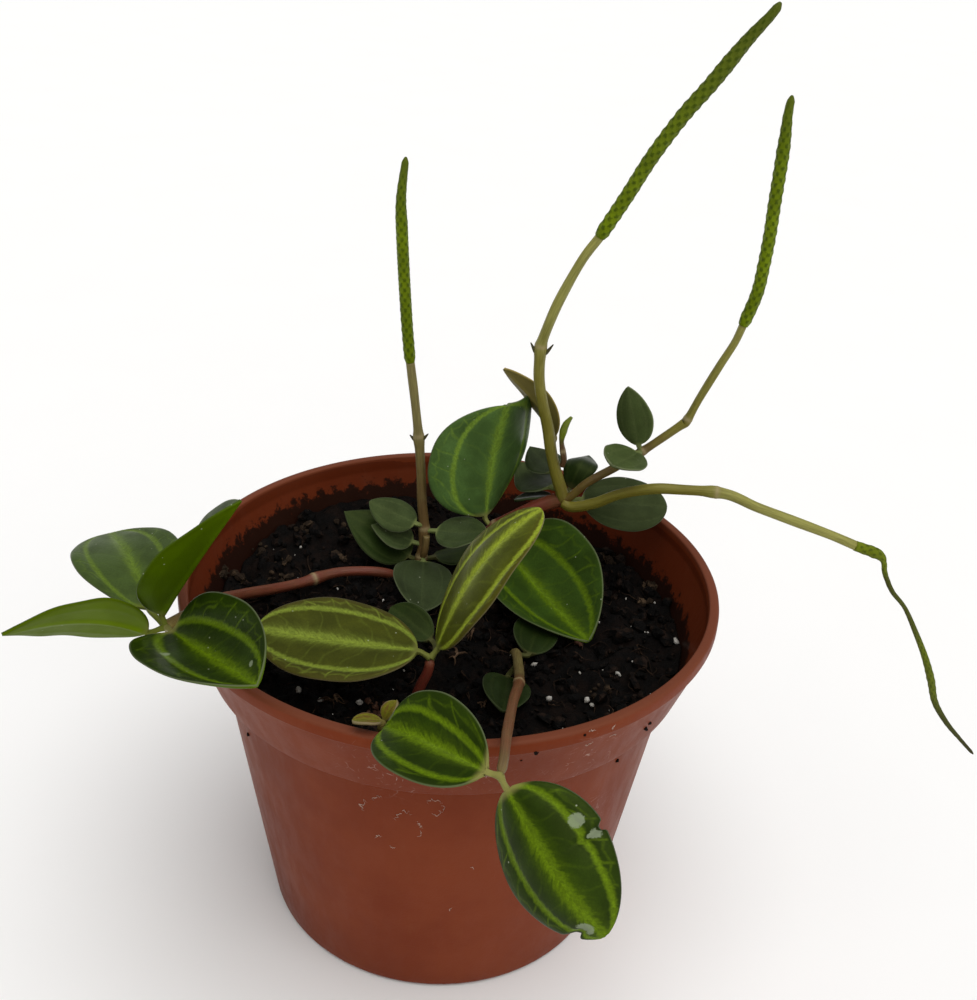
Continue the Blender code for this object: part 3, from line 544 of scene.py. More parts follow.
def build_leaf(node, finish, joint, base, angles, size, shape, lobes=(0, 0, 0, 0),
               veins=(0.66, 0.66, -0.66, -0.66), large=True, bites=(), scars=(), slot="leaf_green", owner=None,
               drawn=0.0):
    """One leaf with its stalk, joined to its stem, and the numbers that its material needs.

    The stations lie closer at both ends of the blade, and the points across it closer at the margins.
    """
    stations, columns = LARGE_GRID if large else SMALL_GRID
    even, across = np.linspace(0, 1, stations), np.linspace(-1, 1, columns)
    u = (0.75 * (1 - np.cos(np.pi * even)) / 2 + 0.25 * even)[:, None]
    v = (0.4 * np.sin(np.pi / 2 * across) + 0.6 * across)[None, :]
    grid, half = blade_middle(size, shape, lobes, u, v, sum(node.encode()), bites, drawn)
    near = vein_distances(veins, u, v, half)
    blade = blade_faces(grid, half, u, v, near, size[1])
    along, left, face = leaf_axes(*angles)
    stalk = stalk_rings(joint, base, along, left, (blade[0] - grid[0, columns // 2])[:, 1:])
    points = np.concatenate([stalk, blade @ np.array([along, left, face]) + np.array(base, dtype=float)])
    rows, count = points.shape[:2]

    def spread(numbers, on_stalk):
        """Numbers of the blade's grid carried round both faces, with one number on the stalk."""
        numbers = np.broadcast_to(numbers, (stations, columns))
        both = round_blade(numbers, numbers)
        every = np.concatenate([np.full((len(stalk), count), float(on_stalk)), both])
        return np.concatenate([every.ravel(), [on_stalk, both[-1].mean()]])

    scar = np.zeros((stations, columns))
    for at, where, radius in scars:
        away = np.hypot((u - at) * size[0], (v - where) * half) / radius
        scar = np.maximum(scar, np.exp(-away ** 2))
    under = np.tile(np.arange(count) >= columns, rows)
    bare = np.concatenate([np.linspace(1.6, 1, len(stalk)),
                           np.clip(1 - u[:, 0] * size[0] / (2.2 if large else 1.1), 0, 1)])
    values = {label: spread(near[label], on_stalk) for label, on_stalk in
              (("midrib", 0), ("side_vein", 9), ("margin", 9), ("outer", -9))}
    values |= {"under": np.concatenate([under, [0, 0]]), "bare": np.concatenate([np.repeat(bare, count), [1.6, 0]]),
               "scar": spread(scar, 0), "share": spread(u, 0)}
    flat = np.stack([spread(u * size[0], 0), spread(v * half, 0)], axis=-1) / MAP_SCALE + 0.5
    points = np.vstack([points.reshape(-1, 3), points[0].mean(axis=0), points[-1].mean(axis=0)])
    piece = make_piece(node + "_veined", points, ring_faces(rows, count), finish, values, flat)
    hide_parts(owner or node)


# %% [markdown]
# # The finish of the leaves
# Each large leaf is dark between its veins and yellow-green along them, with feathered edges and a thin
# net of cross veins towards the margin. A picture could be pasted on, but nodes keep it sharp at any
# size. The distance to each vein is stored on the mesh, sheared noise feathers the stripe's edge, and
# evenly spaced lines, sheared the same way, make the net. The face is waxy, so it takes a soft,
# slightly uneven gloss.

# %% Leaf finishes
WAXY = (0.8, 0.95, 0.35, 1.0)   # tint of a leaf's reflections


def vein_pattern(tree, flat, width, net):
    """How pale the leaf is at a point, from 0 between the veins to 1 on them, its raised threads, and the
    feathering noise.

    Fine noise is sheared so that its streaks leave the midrib forwards, and it pushes the stripe's edge
    to and fro. The cross veins are evenly spaced lines of a coordinate sheared and bent in the same way.
    """
    midrib, side, outer, share, margin = (attribute(tree, name) for name in
                                          ("midrib", "side_vein", "outer", "share", "margin"))
    parts = place(tree, "ShaderNodeSeparateXYZ", {0: flat}).outputs
    x, half = Field(parts[0]), Field(parts[1]).sum("SIGN") * 9.0
    sheared = {0: x - midrib * 0.75, 1: midrib * 0.3 + half}
    feather = noise(Field(place(tree, "ShaderNodeCombineXYZ", sheared).outputs[0]), 0.95, 4.0, 0.6)
    ragged = (feather - 0.5) * 4.4
    swell = fade(share, 0.0, 0.45, 0.35, 1.0) * fade(share, 0.8, 1.0, 1.0, 0.7)
    middle = (midrib + ragged * swell) / swell
    on_middle = fade(middle, 0.35 * width, 1.6 * width)
    on_side = fade(side + ragged * 0.35, 0.12 * width, 0.68 * width)
    course = x + noise(flat, 0.12, 1.0) * 8.0 - midrib * 0.6 - outer.most(0.0) * 0.3 + half
    step = course.sum("PINGPONG", 2.3)
    scallop = fade((margin - (step * 0.3 + 1.2)).sum("ABSOLUTE"), 0.05, 0.4, 0.4, 0.0)
    scallop = scallop * fade(outer, 0.4, 1.0, 0.0, 1.0)
    patchy = fade(noise(flat, 0.3, 2.0), 0.3, 0.52, 0.2, 1.0)
    thread = fade(step, 0.05, 0.5, 0.75, 0.0).most(scallop) * patchy * fade(outer, -0.3, 0.3, 0.22, 1.0)
    thread = thread * fade(margin, 0.3, 1.0, 0.0, net)
    halo = fade(middle, 0.8 * width, 2.6 * width) * 0.22
    stripes = on_middle.most(on_side).most(thread + halo)
    return stripes.most(fade(midrib, 0.12, 0.38) * 0.9), thread, feather


def leaf_finish(name, dark, stripe, under, rim, stripes=1.0, net=0.6, width=1.0, gloss=0.4, tint=None,
                stalk=(0.16, 0.13, 0.035), sheen=0.13):
    """A leaf: stripes is how strongly the veins show and net how strongly the cross veins do."""
    material, tree = new_finish(name, gloss, sheen, WAXY)
    centred = flat_place(tree).sum("SUBTRACT", (0.5, 0.5, 0.0), "ShaderNodeVectorMath")
    pattern, thread, feather = vein_pattern(tree, stretched(centred, (MAP_SCALE, MAP_SCALE, 0.0)), width, net)
    solid, margin = object_mm(tree), attribute(tree, "margin")
    cloud, grain = noise(solid, 0.16, 3.0), noise(solid, 2.4, 3.0, 0.6)
    shade = mixed(fade(cloud, 0.3, 0.7), toned(dark, 0.76), toned(dark, 1.2))
    if tint:
        shade = mixed(fade(margin, 0.0, 3.5, 0.6, 0.0), shade, tint)
    light = mixed(fade(feather, 0.38, 0.62), stripe, toned(stripe, 0.68))
    upper = mixed(pattern * stripes, shade, light)
    upper = mixed(fade(grain, 0.35, 0.65, 0.0, 0.28), upper, toned(dark, 0.5))
    upper = mixed(fade(margin, 0.05, 0.26, 0.8, 0.0), upper, rim)
    lower = mixed(fade(attribute(tree, "midrib"), 0.3, 1.6, 0.55, 0.0), under, toned(under, 1.5))
    lower = mixed(fade(cloud, 0.35, 0.65, 0.0, 0.35), lower, toned(under, 0.65))
    lower = mixed(fade(margin, 0.1, 1.4, 0.5, 0.0), lower, toned(under, 0.5))
    colour = mixed(attribute(tree, "under"), upper, lower)
    stalk = mixed(cloud, stalk, toned(stalk, 0.75))
    colour = mixed(fade(attribute(tree, "bare"), 0.2, 1.0, 0.0, 1.0), colour, stalk)
    # painted glints: a few pale dots scattered over the leaf stand for small highlights on its waxy face
    glint_cells = place(tree, "ShaderNodeTexVoronoi", {"Vector": solid, "Scale": 0.55, "Randomness": 1.0}).outputs
    chosen = Field(place(tree, "ShaderNodeSeparateColor", {0: Field(glint_cells["Color"])}).outputs[0])
    glint_dot = fade(Field(glint_cells["Distance"]), 0.06, 0.11) * chosen.sum("GREATER_THAN", 0.86)
    colour = mixed(glint_dot * 0.5, colour, (0.45, 0.48, 0.36))
    torn = fade(attribute(tree, "scar") * (grain + 0.45), 0.42, 0.6, 0.0, 0.75)
    colour = mixed(torn, colour, (0.22, 0.26, 0.17))
    rough = fade(cloud, 0.3, 0.7, gloss - 0.05, gloss + 0.07) + (grain - 0.5) * 0.12
    return finished(material, colour, rough + torn * 0.3, grain * 0.35 - thread * 0.6, 0.09)


# %% [markdown]
# One recipe serves all the leaves. Only its numbers differ: the colours of the flesh, the stripes, the
# underside and the margin, and then how strong the stripes and the net of cross veins are.

# %% Leaf colours
GREY_RIM = (0.1, 0.12, 0.06)
GOLD_STALK, PALE_STALK, DULL_STALK = (0.22, 0.21, 0.06), (0.15, 0.18, 0.06), (0.12, 0.14, 0.02)
OLIVE = {"width": 1.4, "stalk": (0.13, 0.14, 0.03)}
BRIGHT = {"net": 0.1, "stalk": DULL_STALK}
SMALL = {"net": 0.0, "width": 0.5, "stalk": PALE_STALK}
LEAF_COLOURS = {
    "striped_olive": ((0.043, 0.048, 0.004), (0.2, 0.26, 0.03), (0.07, 0.06, 0.02), (0.12, 0.1, 0.05),
                      {"net": 0.75, "tint": (0.06, 0.045, 0.009), **OLIVE}),
    # painted light: a brighter copy of striped_olive for the raised leaf, which faces the light
    "raised_olive_painted_light": ((0.06, 0.07, 0.004), (0.32, 0.4, 0.03), (0.07, 0.06, 0.02), (0.12, 0.1, 0.05),
                     {"net": 0.55, "tint": (0.075, 0.055, 0.01), **OLIVE}),
    "striped_green": ((0.025, 0.052, 0.006), (0.1, 0.17, 0.005), (0.075, 0.13, 0.003), GREY_RIM,
                      {"width": 1.5, "stalk": GOLD_STALK}),
    "striped_deep": ((0.014, 0.029, 0.0015), (0.115, 0.19, 0.004), (0.075, 0.13, 0.003), GREY_RIM,
                     {"net": 0.55, "width": 1.45, "stalk": GOLD_STALK}),
    # painted sheen: the grey cast of this finish stands for the pale reflection on the back runner leaf
    "striped_grey_painted_sheen": ((0.047, 0.076, 0.018), (0.12, 0.19, 0.02), (0.075, 0.12, 0.006), GREY_RIM,
                     {"width": 1.3, "stalk": DULL_STALK}),
    # painted light: brightened to make up for the light that the upright centre leaf misses
    "striped_painted_light": ((0.06, 0.115, 0.028), (0.19, 0.31, 0.035), (0.075, 0.12, 0.006), GREY_RIM,
                      {"width": 1.3, "stalk": (0.2, 0.21, 0.06)}),
    # painted light: the bright yellow-green stands for light shining through the thin leaf from behind
    "underside_painted_backlight": ((0.075, 0.12, 0.0005), (0.115, 0.17, 0.003), (0.085, 0.135, 0.0005),
                         (0.05, 0.075, 0.006), {"stripes": 0.6, "width": 0.9, "sheen": 0.05, **BRIGHT}),
    "folded": ((0.045, 0.07, 0.02), (0.08, 0.115, 0.025), (0.06, 0.105, 0.0005), (0.05, 0.08, 0.01),
               {"stripes": 0.4, "sheen": 0.08, **BRIGHT}),
    "small_green": ((0.036, 0.053, 0.018), (0.075, 0.1, 0.035), (0.05, 0.065, 0.02), (0.11, 0.13, 0.07),
                    {"stripes": 0.4, "gloss": 0.46, **SMALL}),
    # painted shade: a darker copy of small_green for leaves in shade
    "small_dark": ((0.026, 0.037, 0.014), (0.05, 0.068, 0.026), (0.035, 0.045, 0.014), (0.1, 0.12, 0.065),
                   {"stripes": 0.5, "gloss": 0.42, **SMALL}),
    # painted light: a brighter copy of small_green for the branch leaves, which face the light
    "small_light": ((0.055, 0.078, 0.024), (0.1, 0.13, 0.045), (0.06, 0.08, 0.02), (0.13, 0.15, 0.08),
                    {"stripes": 0.4, "gloss": 0.46, **SMALL}),
    "shaded_green": ((0.013, 0.024, 0.005), (0.03, 0.045, 0.01), (0.022, 0.03, 0.008), (0.05, 0.065, 0.03),
                     {"stripes": 0.5, "net": 0.0, "width": 0.6, "gloss": 0.36, "stalk": (0.06, 0.06, 0.02)}),
    "ageing_tan": ((0.2, 0.165, 0.04), (0.26, 0.2, 0.06), (0.2, 0.165, 0.045), (0.3, 0.21, 0.055),
                   {"stripes": 0.4, "net": 0.2, "width": 0.7, "gloss": 0.5}),
    "young_yellow": ((0.11, 0.055, 0.014), (0.17, 0.17, 0.012), (0.09, 0.06, 0.02), (0.2, 0.16, 0.09),
                     {"stripes": 0.9, "net": 0.1, "width": 0.8, "gloss": 0.45})}
leaf_skins = {name: leaf_finish("leaf_" + name, *colours, **ways)
              for name, (*colours, ways) in LEAF_COLOURS.items()}
print("leaf finishes:", len(leaf_skins))

# %% [markdown]
# # Setting the leaves in place
# Each leaf takes the same base, angles and size as its plain solid, so it lies exactly over it.
# A row names the leaf, its finish, the stem's middle where it grows, the foot of its blade, its heading,
# rise and roll, its length and width, then arch, skew, left and right cup, twist and point. Some add the
# lobes, where the side veins start and end across the blade, and the marks that insects left.

# %% Large leaves
END = {"runner": RUNNER[-1], "front": FRONT_LEFT[-1], "centre": RIGHT[2], "hanging": HANGING[-1]}
LARGE_LEAVES = [
    ("runner_leaf_back", "striped_grey_painted_sheen", END["runner"], (-60.8, -28.6, 92.8), (118, 0, 0), (32.2, 22.4),
     (3.1, -0.3, 0.8, 1.4, -2, 0.51), {"veins": (0.68, 0.74, -0.66, -0.6)}),
    ("runner_leaf_outer", "underside_painted_backlight", END["runner"], (-60, -33.8, 90.8), (-151, 15, 52),
     (27.7, 18.8), (2.5, -0.2, 0.9, 0.3, 2, 0.98), {}),
    ("runner_leaf_folded", "folded", END["runner"], (-57.4, -31.5, 93.9), (-4, 58, -24), (32.1, 19.1),
     (0.3, -0.2, 7.3, 4, 10, 0.88), {}),
    ("runner_leaf_front", "striped_deep", END["runner"], (-54.6, -35.2, 92), (-50, 12, 25), (33.3, 21.5),
     (-0.3, -0.2, 5.9, 9.6, -1, 0.5), {"lobes": (9, 8.1, 1.1, -0.6), "veins": (0.5, 0.62, -0.6, -0.6),
                                       "scars": ((0.86, 0.35, 0.7), (0.33, -0.57, 0.9))}),
    ("front_left_leaf_flat", "striped_olive", END["front"], (-6.2, -29, 85.5), (174, 2, -11), (34, 23.5),
     (-0.5, 0, 1, 0.7, -9, 0.56), {"veins": (0.76, 0.68, -0.7, -0.74)}),
    ("front_left_leaf_raised", "raised_olive_painted_light", END["front"], (-2, -28.6, 86.3), (28, 51, -11), (35.7, 21.4),
     (3.4, 0.2, -1.2, -0.5, 3, 0.55), {"veins": (0.82, 0.46, -0.72, -0.88)}),
    ("centre_leaf_upright", "striped_painted_light", END["centre"], (7.6, 24.6, 88), (5, 83, 127), (29.7, 28.9),
     (-1.4, 0.2, -6.4, -3.4, -17, 0.64), {"lobes": (4.7, -0.7, 0.4, 2), "veins": (0.68, 0.64, -0.82, -0.8),
                                          "drawn": 4.5}),
    ("centre_leaf_broad", "striped_green", END["centre"], (12.6, 20.6, 81.6), (-57, -10, 9), (35.4, 25.4),
     (-1.2, 0.1, 11, 5, -6, 0.72), {"lobes": (6, 2.9, 0, 0.9), "veins": (0.57, 0.63, -0.7, -0.62)}),
    ("hanging_leaf_left", "striped_deep", END["hanging"], (7.7, -70.6, 90.3), (148, -1, -33), (21.6, 17.3),
     (2, 0.8, 6.3, 3.6, 5, 0.52), {"lobes": (2.5, 1, 1.3, 0.2), "veins": (0.72, 0.72, -0.4, -0.68),
                                   "bites": ((-1, 0.985, 0.02, 1.2),)}),
    ("hanging_leaf_front", "striped_deep", END["hanging"], (11.6, -71.2, 86.9), (-45, -33, 60), (29.4, 21.3),
     (2.5, 0.7, -4.6, -3.8, -7, 0.61), {"veins": (0.62, 0.74, -0.62, -0.62),
                                        "bites": ((1, 0.49, 0.025, 1.1), (-1, 0.9, 0.03, 1.8)),
                                        "scars": ((0.38, 0.7, 1.6), (0.5, 0.85, 1.3), (0.9, -0.3, 1.6))}),
    ("tan_leaf", "ageing_tan", (21.8, 23, 108.4), (22.9, 26, 109.6), (151, 43, 58), (20, 13.2),
     (1.4, -0.5, 0.9, 1.4, -1, 0.8), {"slot": "leaf_tan", "large": False})]
for name, skin, joint, base, angles, size, shape, extras in LARGE_LEAVES:
    build_leaf(name, leaf_skins[skin], joint, base, angles, size, shape, **extras)

# %% Small leaves
SMALL_LEAVES = [
    ("deep_leaf", "shaded_green", FRONT_LEFT[2], (-3.7, -19.4, 81.6), (138, 11, -19), (12.4, 8),
     (0.4, 0, 0.5, 1, -10, 0.54)),
    ("upright_leaf_long", "shaded_green", (-7.6, 22, 76.2), (-10.5, 22.6, 76.6), (160, 25, -28), (19.5, 13.5),
     (0.8, 0.3, 0.8, 0.3, 5, 0.95)),
    ("upright_leaf_heart", "small_dark", (-7.4, 22.1, 77), (-6.9, 19.2, 77.2), (-89, -4, -4), (19.5, 14.4),
     (0.6, -0.7, 0.9, 2.1, -7, 0.65)),
    ("upright_leaf_shade", "shaded_green", (-7.5, 22.1, 76.2), (-4.4, 23.4, 76.4), (20, 6, 6), (10.9, 7.1),
     (-0.8, 0, -0.6, -0.4, 8, 0.8)),
    ("upright_leaf_sliver", "small_green", (-7.3, 22.4, 80.4), (-9.8, 22.5, 80.9), (174, 18, -28), (10.8, 8.2),
     (0.3, 0, 0.5, -0.3, 0, 0.95)),
    ("upright_leaf_left", "small_green", (-7.1, 23, 85.4), (-9.2, 21.9, 86.5), (160, 14, -32), (12.6, 8.9),
     (-0.3, 0, -0.6, -0.8, -2, 0.72)),
    ("upright_leaf_right", "small_green", (-7.1, 22.9, 84), (-4.1, 21.7, 84.8), (-21, 13, 19), (13.3, 10.8),
     (-0.5, -0.1, 0.2, 0.3, -1, 0.75)),
    ("fork_leaf_lower", "small_green", (25.3, 23, 96.8), (23, 26.2, 96), (115, -5, -16), (16.3, 11.1),
     (-1.8, 0.6, 0, 0, 8, 0.66)),
    ("fork_leaf_upper", "small_dark", (24.4, 23, 99.4), (23.6, 26.6, 100), (113, -1, -14), (14, 9.1),
     (-0.4, 0.2, 0, 0.1, 8, 0.85)),
    ("fork_leaf_back", "shaded_green", (27, 22.6, 95.6), (27.8, 26.4, 95.9), (64, 18, 15), (11.7, 7.9),
     (4.1, -0.7, -2.5, -0.3, -6, 0.69)),
    ("fork_leaf_large", "small_dark", (27.5, 22.4, 94.2), (30.6, 24.2, 94), (4, -5, 32), (21.2, 14.7),
     (-0.3, -0.1, 0.3, -0.4, 1, 0.52)),
    ("fork_leaf_shade", "shaded_green", (24.5, 23.5, 93.6), (23.9, 28.7, 91.9), (176, -12, 10), (9.5, 6),
     (0.5, 0, 0.5, 0.5, 0, 0.6)),
    ("branch_leaf_upright", "small_light", (43.4, 24, 107.5), (42.6, 24, 109.4), (135, 69, -74), (14.1, 9.8),
     (0, 0, -1, 0, 10, 0.82)),
    ("branch_leaf_flat", "small_light", (43.4, 24, 107.5), (42.2, 21.4, 108.6), (-123, 7, 0), (12.8, 10.1),
     (-0.3, -0.5, -0.5, 2.4, 1, 0.54)),
    ("soil_leaf_back", "shaded_green", (15.2, -14, 74.7), (18, -13.8, 75), (77, 1, 6), (14, 10.4),
     (0.4, 0, 1.1, 0.3, 0, 0.51), (0, 0.5, 0, 0)),
    ("soil_leaf_front", "shaded_green", (15.2, -22.1, 78.2), (13, -23.8, 75.8), (-95, 5, -9), (13.1, 10.6),
     (0.4, 0.1, 0.5, 1, 4, 0.73), (1.6, 2, 0, 0))]
SPROUT_LEAVES = [
    ("sprout_leaf_over", (-11.7, -55.1, 86.2), (-11.6, -56, 88.5), (194, 9, 8), (5.6, 4), (0.3, 0, 0.4, 0.4, 0, 0.6)),
    ("sprout_leaf_inner", (-12.1, -50.8, 82), (-11.3, -50.6, 84.4), (45, 46, 0), (4.4, 3.4),
     (0.6, 0, 0.6, 0.6, 0, 0.6))]
for name, skin, *form in SMALL_LEAVES:
    build_leaf(name, leaf_skins[skin], *form, large=False)
for name, *form in SPROUT_LEAVES:
    build_leaf(name, leaf_skins["young_yellow"], *form, large=False, slot="sprout_yellow", owner="rim_sprout")

# %% [markdown]
# # The stems
# The stems are smooth, a little ribbed, red-brown near the soil and olive towards the spikes, and they
# swell where leaves grow. A curve with a bevel would give an even pipe. A profile carried along the path
# lets the radius, the ribs and the colour change from ring to ring.

# %% Stem routes
UPRIGHT = [(-8.2, 21.5, 66.5), (-7.6, 22, 75.8), (-7.1, 23, 83.5), (-7.9, 23.5, 92), (-8.4, 24, 100),
           (-9.1, 24, 108), (-10.3, 24, 118), (-11.6, 24, 127.5)]
TALL_FORK = [(26.2, 22.8, 94.2), (25.4, 23, 96.5), (23.8, 23, 101), (22.1, 23, 107), (20.9, 23, 113),
             (19, 22, 120), (17.8, 22, 126), (17.6, 22, 132), (17.8, 22, 134.7), (19.3, 21, 140.6),
             (21.3, 21, 146.2), (24.9, 20, 154.7), (28.2, 20, 160)]
RIGHT_FORK = [(26, 22.4, 94.2), (27.8, 22, 96), (31.4, 22, 99.9), (37.8, 23, 103.8), (43.4, 24, 107.5),
              (51.9, 25, 114.3), (53.4, 25, 115.9), (55.6, 25, 121.7), (59.1, 25, 130), (61.6, 25, 135.6),
              (62.9, 25, 140)]
ARCH_FORK = [(26, 22, 94), (28.2, 20.8, 93.7), (33.2, 19, 96), (38.6, 17, 99.8), (45.5, 15, 102.6),
             (52, 14, 103.3), (61.9, 12, 103.8), (69.6, 11, 101.2), (78.3, 10, 98.6), (87.2, 9, 95.9),
             (93, 8, 94)]
STUB = [(-7.3, 21.8, 77.4), (-6.8, 20.9, 79.2), (-6.5, 20.8, 81.4), (-6.4, 21, 83.6)]
SHOOT = [(24.9, 22.1, 103.8), (25.2, 21.7, 105.6), (24.7, 21.5, 108), (24.2, 21.4, 110.6), (24.4, 21.4, 113),
         (24.9, 21.4, 115), (26, 21.4, 116.9)]
SHOOT_RADII = [(0, 0.6), (0.3, 0.55), (0.5, 0.5), (0.7, 0.85), (0.85, 0.75), (1, 0.35)]
SPROUT = [(-12, -47, 66.5), (-12.2, -47.6, 74), (-12.1, -50.4, 81.4), (-11.7, -55.1, 86.2)]
STEM_SIDES = 24
STEM_STEP = 0.5


# %% Stem finish
RING_COLOUR = (0.30, 0.24, 0.12)    # of the scar round a node


def stem_finish(name, low, middle, high, gloss=0.42):
    """Three colours along a stem, chosen by the tone stored on it, with fine streaks lengthwise."""
    material, tree = new_finish(name, gloss, 0.25)
    solid = object_mm(tree)
    tone = attribute(tree, "tone") + (noise(solid, 0.35, 3.0) - 0.5) * 0.35
    first = mixed(fade(tone, 0.0, 0.5, 0.0, 1.0), low, middle)
    colour = mixed(fade(tone, 0.5, 1.0, 0.0, 1.0), first, high)
    streak = noise(stretched(attribute(tree, "grain", "Vector"), (2.6, 2.6, 0.12)), 1.6, 4.0, 0.6)
    colour = mixed(fade(streak, 0.35, 0.68, 0.0, 0.45), colour, toned(middle, 0.45))
    colour = mixed(attribute(tree, "scale_ring") * 0.7, colour, RING_COLOUR)
    rough = fade(streak, 0.3, 0.7, gloss - 0.06, gloss + 0.14)
    return finished(material, colour, rough, streak + noise(solid, 2.5, 2.0) * 0.5, 0.12)


red_bark = stem_finish("stem_red", (0.14, 0.024, 0.014), (0.14, 0.052, 0.021), (0.19, 0.15, 0.035))
olive_bark = stem_finish("stem_olive", (0.08, 0.03, 0.012), (0.17, 0.15, 0.018), (0.27, 0.26, 0.06))
brown_bark = stem_finish("stem_brown", (0.135, 0.045, 0.018), (0.13, 0.078, 0.026), (0.21, 0.18, 0.06))
bract_bark = stem_finish("stem_bract", (0.045, 0.04, 0.014), (0.08, 0.075, 0.022), (0.12, 0.12, 0.03))


# %% Stem helpers
def stem_rings(path, radius, nodes, tones, ribs=0.03):
    """Offsets and stored numbers of a stem.

    Five shallow ribs run along it, each node is a swelling with a thin raised scar round it, and tones
    gives pairs of share along the stem and tone.
    """
    length = travelled(path)
    angle = round_angles(STEM_SIDES)
    radius = np.broadcast_to(radius, length.shape).copy()
    scar = np.zeros_like(length)
    for at in nodes:
        radius = radius * (1 + 0.22 * np.exp(-((length - at) / 1.8) ** 2)
                           + 0.07 * np.exp(-((length - at - 0.9) / 0.35) ** 2))
        scar = np.maximum(scar, np.exp(-((length - at - 0.9) / 0.5) ** 2))
    wobble = 0.03 * np.sin(length / 2.7 + radius[0] * 9)
    reach = radius[:, None] * (1 + ribs * np.cos(5 * angle + length[:, None] / 30) + wobble[:, None])
    circle = on_circle(angle)
    tone = np.interp(length / length[-1], *zip(*tones))
    flat = np.ones(STEM_SIDES)
    grain = np.dstack([np.broadcast_to(circle, (len(path), *circle.shape)), length[:, None] * flat])
    values = {"tone": tone[:, None] * flat, "scale_ring": scar[:, None] * flat, "grain": grain}
    return reach[..., None] * circle, values


def build_stem(name, route, thick, thin, nodes, tones, material, slot, replaced, blunt=0.0):
    """A tapering stem along its route, rounded off over the last blunt millimetres."""
    path = smooth_path(route, STEM_STEP)
    length = travelled(path)
    radius = thick + (thin - thick) * length / length[-1]
    if blunt:
        radius = radius * np.sqrt(np.clip((length[-1] - length) / blunt, 0.03, 1))
    ringed(name, path, *stem_rings(path, radius, nodes, tones), material, slot, replaced)


def build_bract(name, start, tip, sag, slot, replaced):
    """A small dark scale at a node, which thins to its tip."""
    start, tip = np.array(start, dtype=float), np.array(tip, dtype=float)
    path = smooth_path([start, (start + tip) / 2 + np.array([0, 0, -sag]), tip], 0.15)
    radius = 0.62 - 0.5 * np.linspace(0, 1, len(path)) ** 1.5
    ringed(name, path, *stem_rings(path, radius, [], [(0, 0.6), (1, 0.0)], 0.0), bract_bark, slot, replaced)


# %% Stems and bracts
build_stem("runner_stem_ringed", RUNNER, 1.15, 1.35, [28, 72],
           [(0, 0.25), (0.35, 0.2), (0.8, 0.3), (0.95, 0.75), (1, 0.9)], red_bark, "red_stem", "runner_stem")
build_stem("front_left_stem_ringed", FRONT_LEFT, 1.15, 1.05, [], [(0, 0.0), (0.8, 0.0), (1, 0.3)],
           red_bark, "red_stem", "front_left_stem", 1.2)
build_stem("upright_stem_ringed", UPRIGHT, 1.3, 1.0, [10, 17.5, 42],
           [(0, 0.3), (0.25, 0.45), (0.5, 0.7), (0.72, 0.95), (1, 1.0)], brown_bark, "brown_stem", "upright_stem")
build_stem("upright_stem_stub", STUB, 0.95, 0.8, [], [(0, 0.4), (1, 0.7)], brown_bark, "brown_stem", "upright_stem")
build_bract("upright_bract_left", (-9, 24, 107.4), (-11.2, 23.6, 109.3), 0.3, "brown_stem", "upright_stem")
build_bract("upright_bract_right", (-9.2, 24, 107.6), (-6.9, 23.6, 109.8), 0.3, "brown_stem", "upright_stem")
build_stem("hanging_stem_ringed", HANGING, 1.15, 0.95, [36.2],
           [(0, 0.8), (0.44, 0.75), (0.5, 0.1), (0.93, 0.2), (1, 0.8)], brown_bark, "brown_stem", "hanging_stem", 1.4)
build_stem("right_stem_foot", RIGHT, 1.6, 1.7, [19], [(0, 0.0), (0.8, 0.05), (1, 0.5)], red_bark, "olive_stem",
           "right_stem")
build_stem("tall_fork_ringed", TALL_FORK, 1.5, 1.0, [40],
           [(0, 0.3), (0.1, 0.5), (0.5, 0.62), (0.62, 0.85), (1, 1.0)], olive_bark, "olive_stem", "right_stem")
build_stem("right_fork_ringed", RIGHT_FORK, 1.0, 0.9, [22, 35],
           [(0, 0.2), (0.35, 0.15), (0.5, 0.4), (0.7, 0.62), (1, 0.8)], olive_bark, "olive_stem", "right_stem")
build_stem("arch_fork_ringed", ARCH_FORK, 1.3, 1.1, [37],
           [(0, 0.45), (0.1, 0.5), (0.4, 0.45), (0.55, 0.85), (1, 1.0)], olive_bark, "olive_stem", "right_stem")
build_bract("tall_bract_left", (17.6, 22, 131.4), (15.3, 21.6, 134.6), 0.5, "olive_stem", "right_stem")
build_bract("tall_bract_right", (17.6, 22, 131.4), (20.4, 21.6, 134.4), 0.5, "olive_stem", "right_stem")

# %% [markdown]
# # The flower spikes
# Hundreds of tiny flowers sit in slanting rows round each spike. Modelling each one would take far too
# many faces, and at this size they read as a knobbly skin. So the radius follows the product of two
# cosines, one along the spike and one round it, which sets the knobs like bricks. The same number,
# stored on the mesh, darkens each knob and leaves the net between them bright.

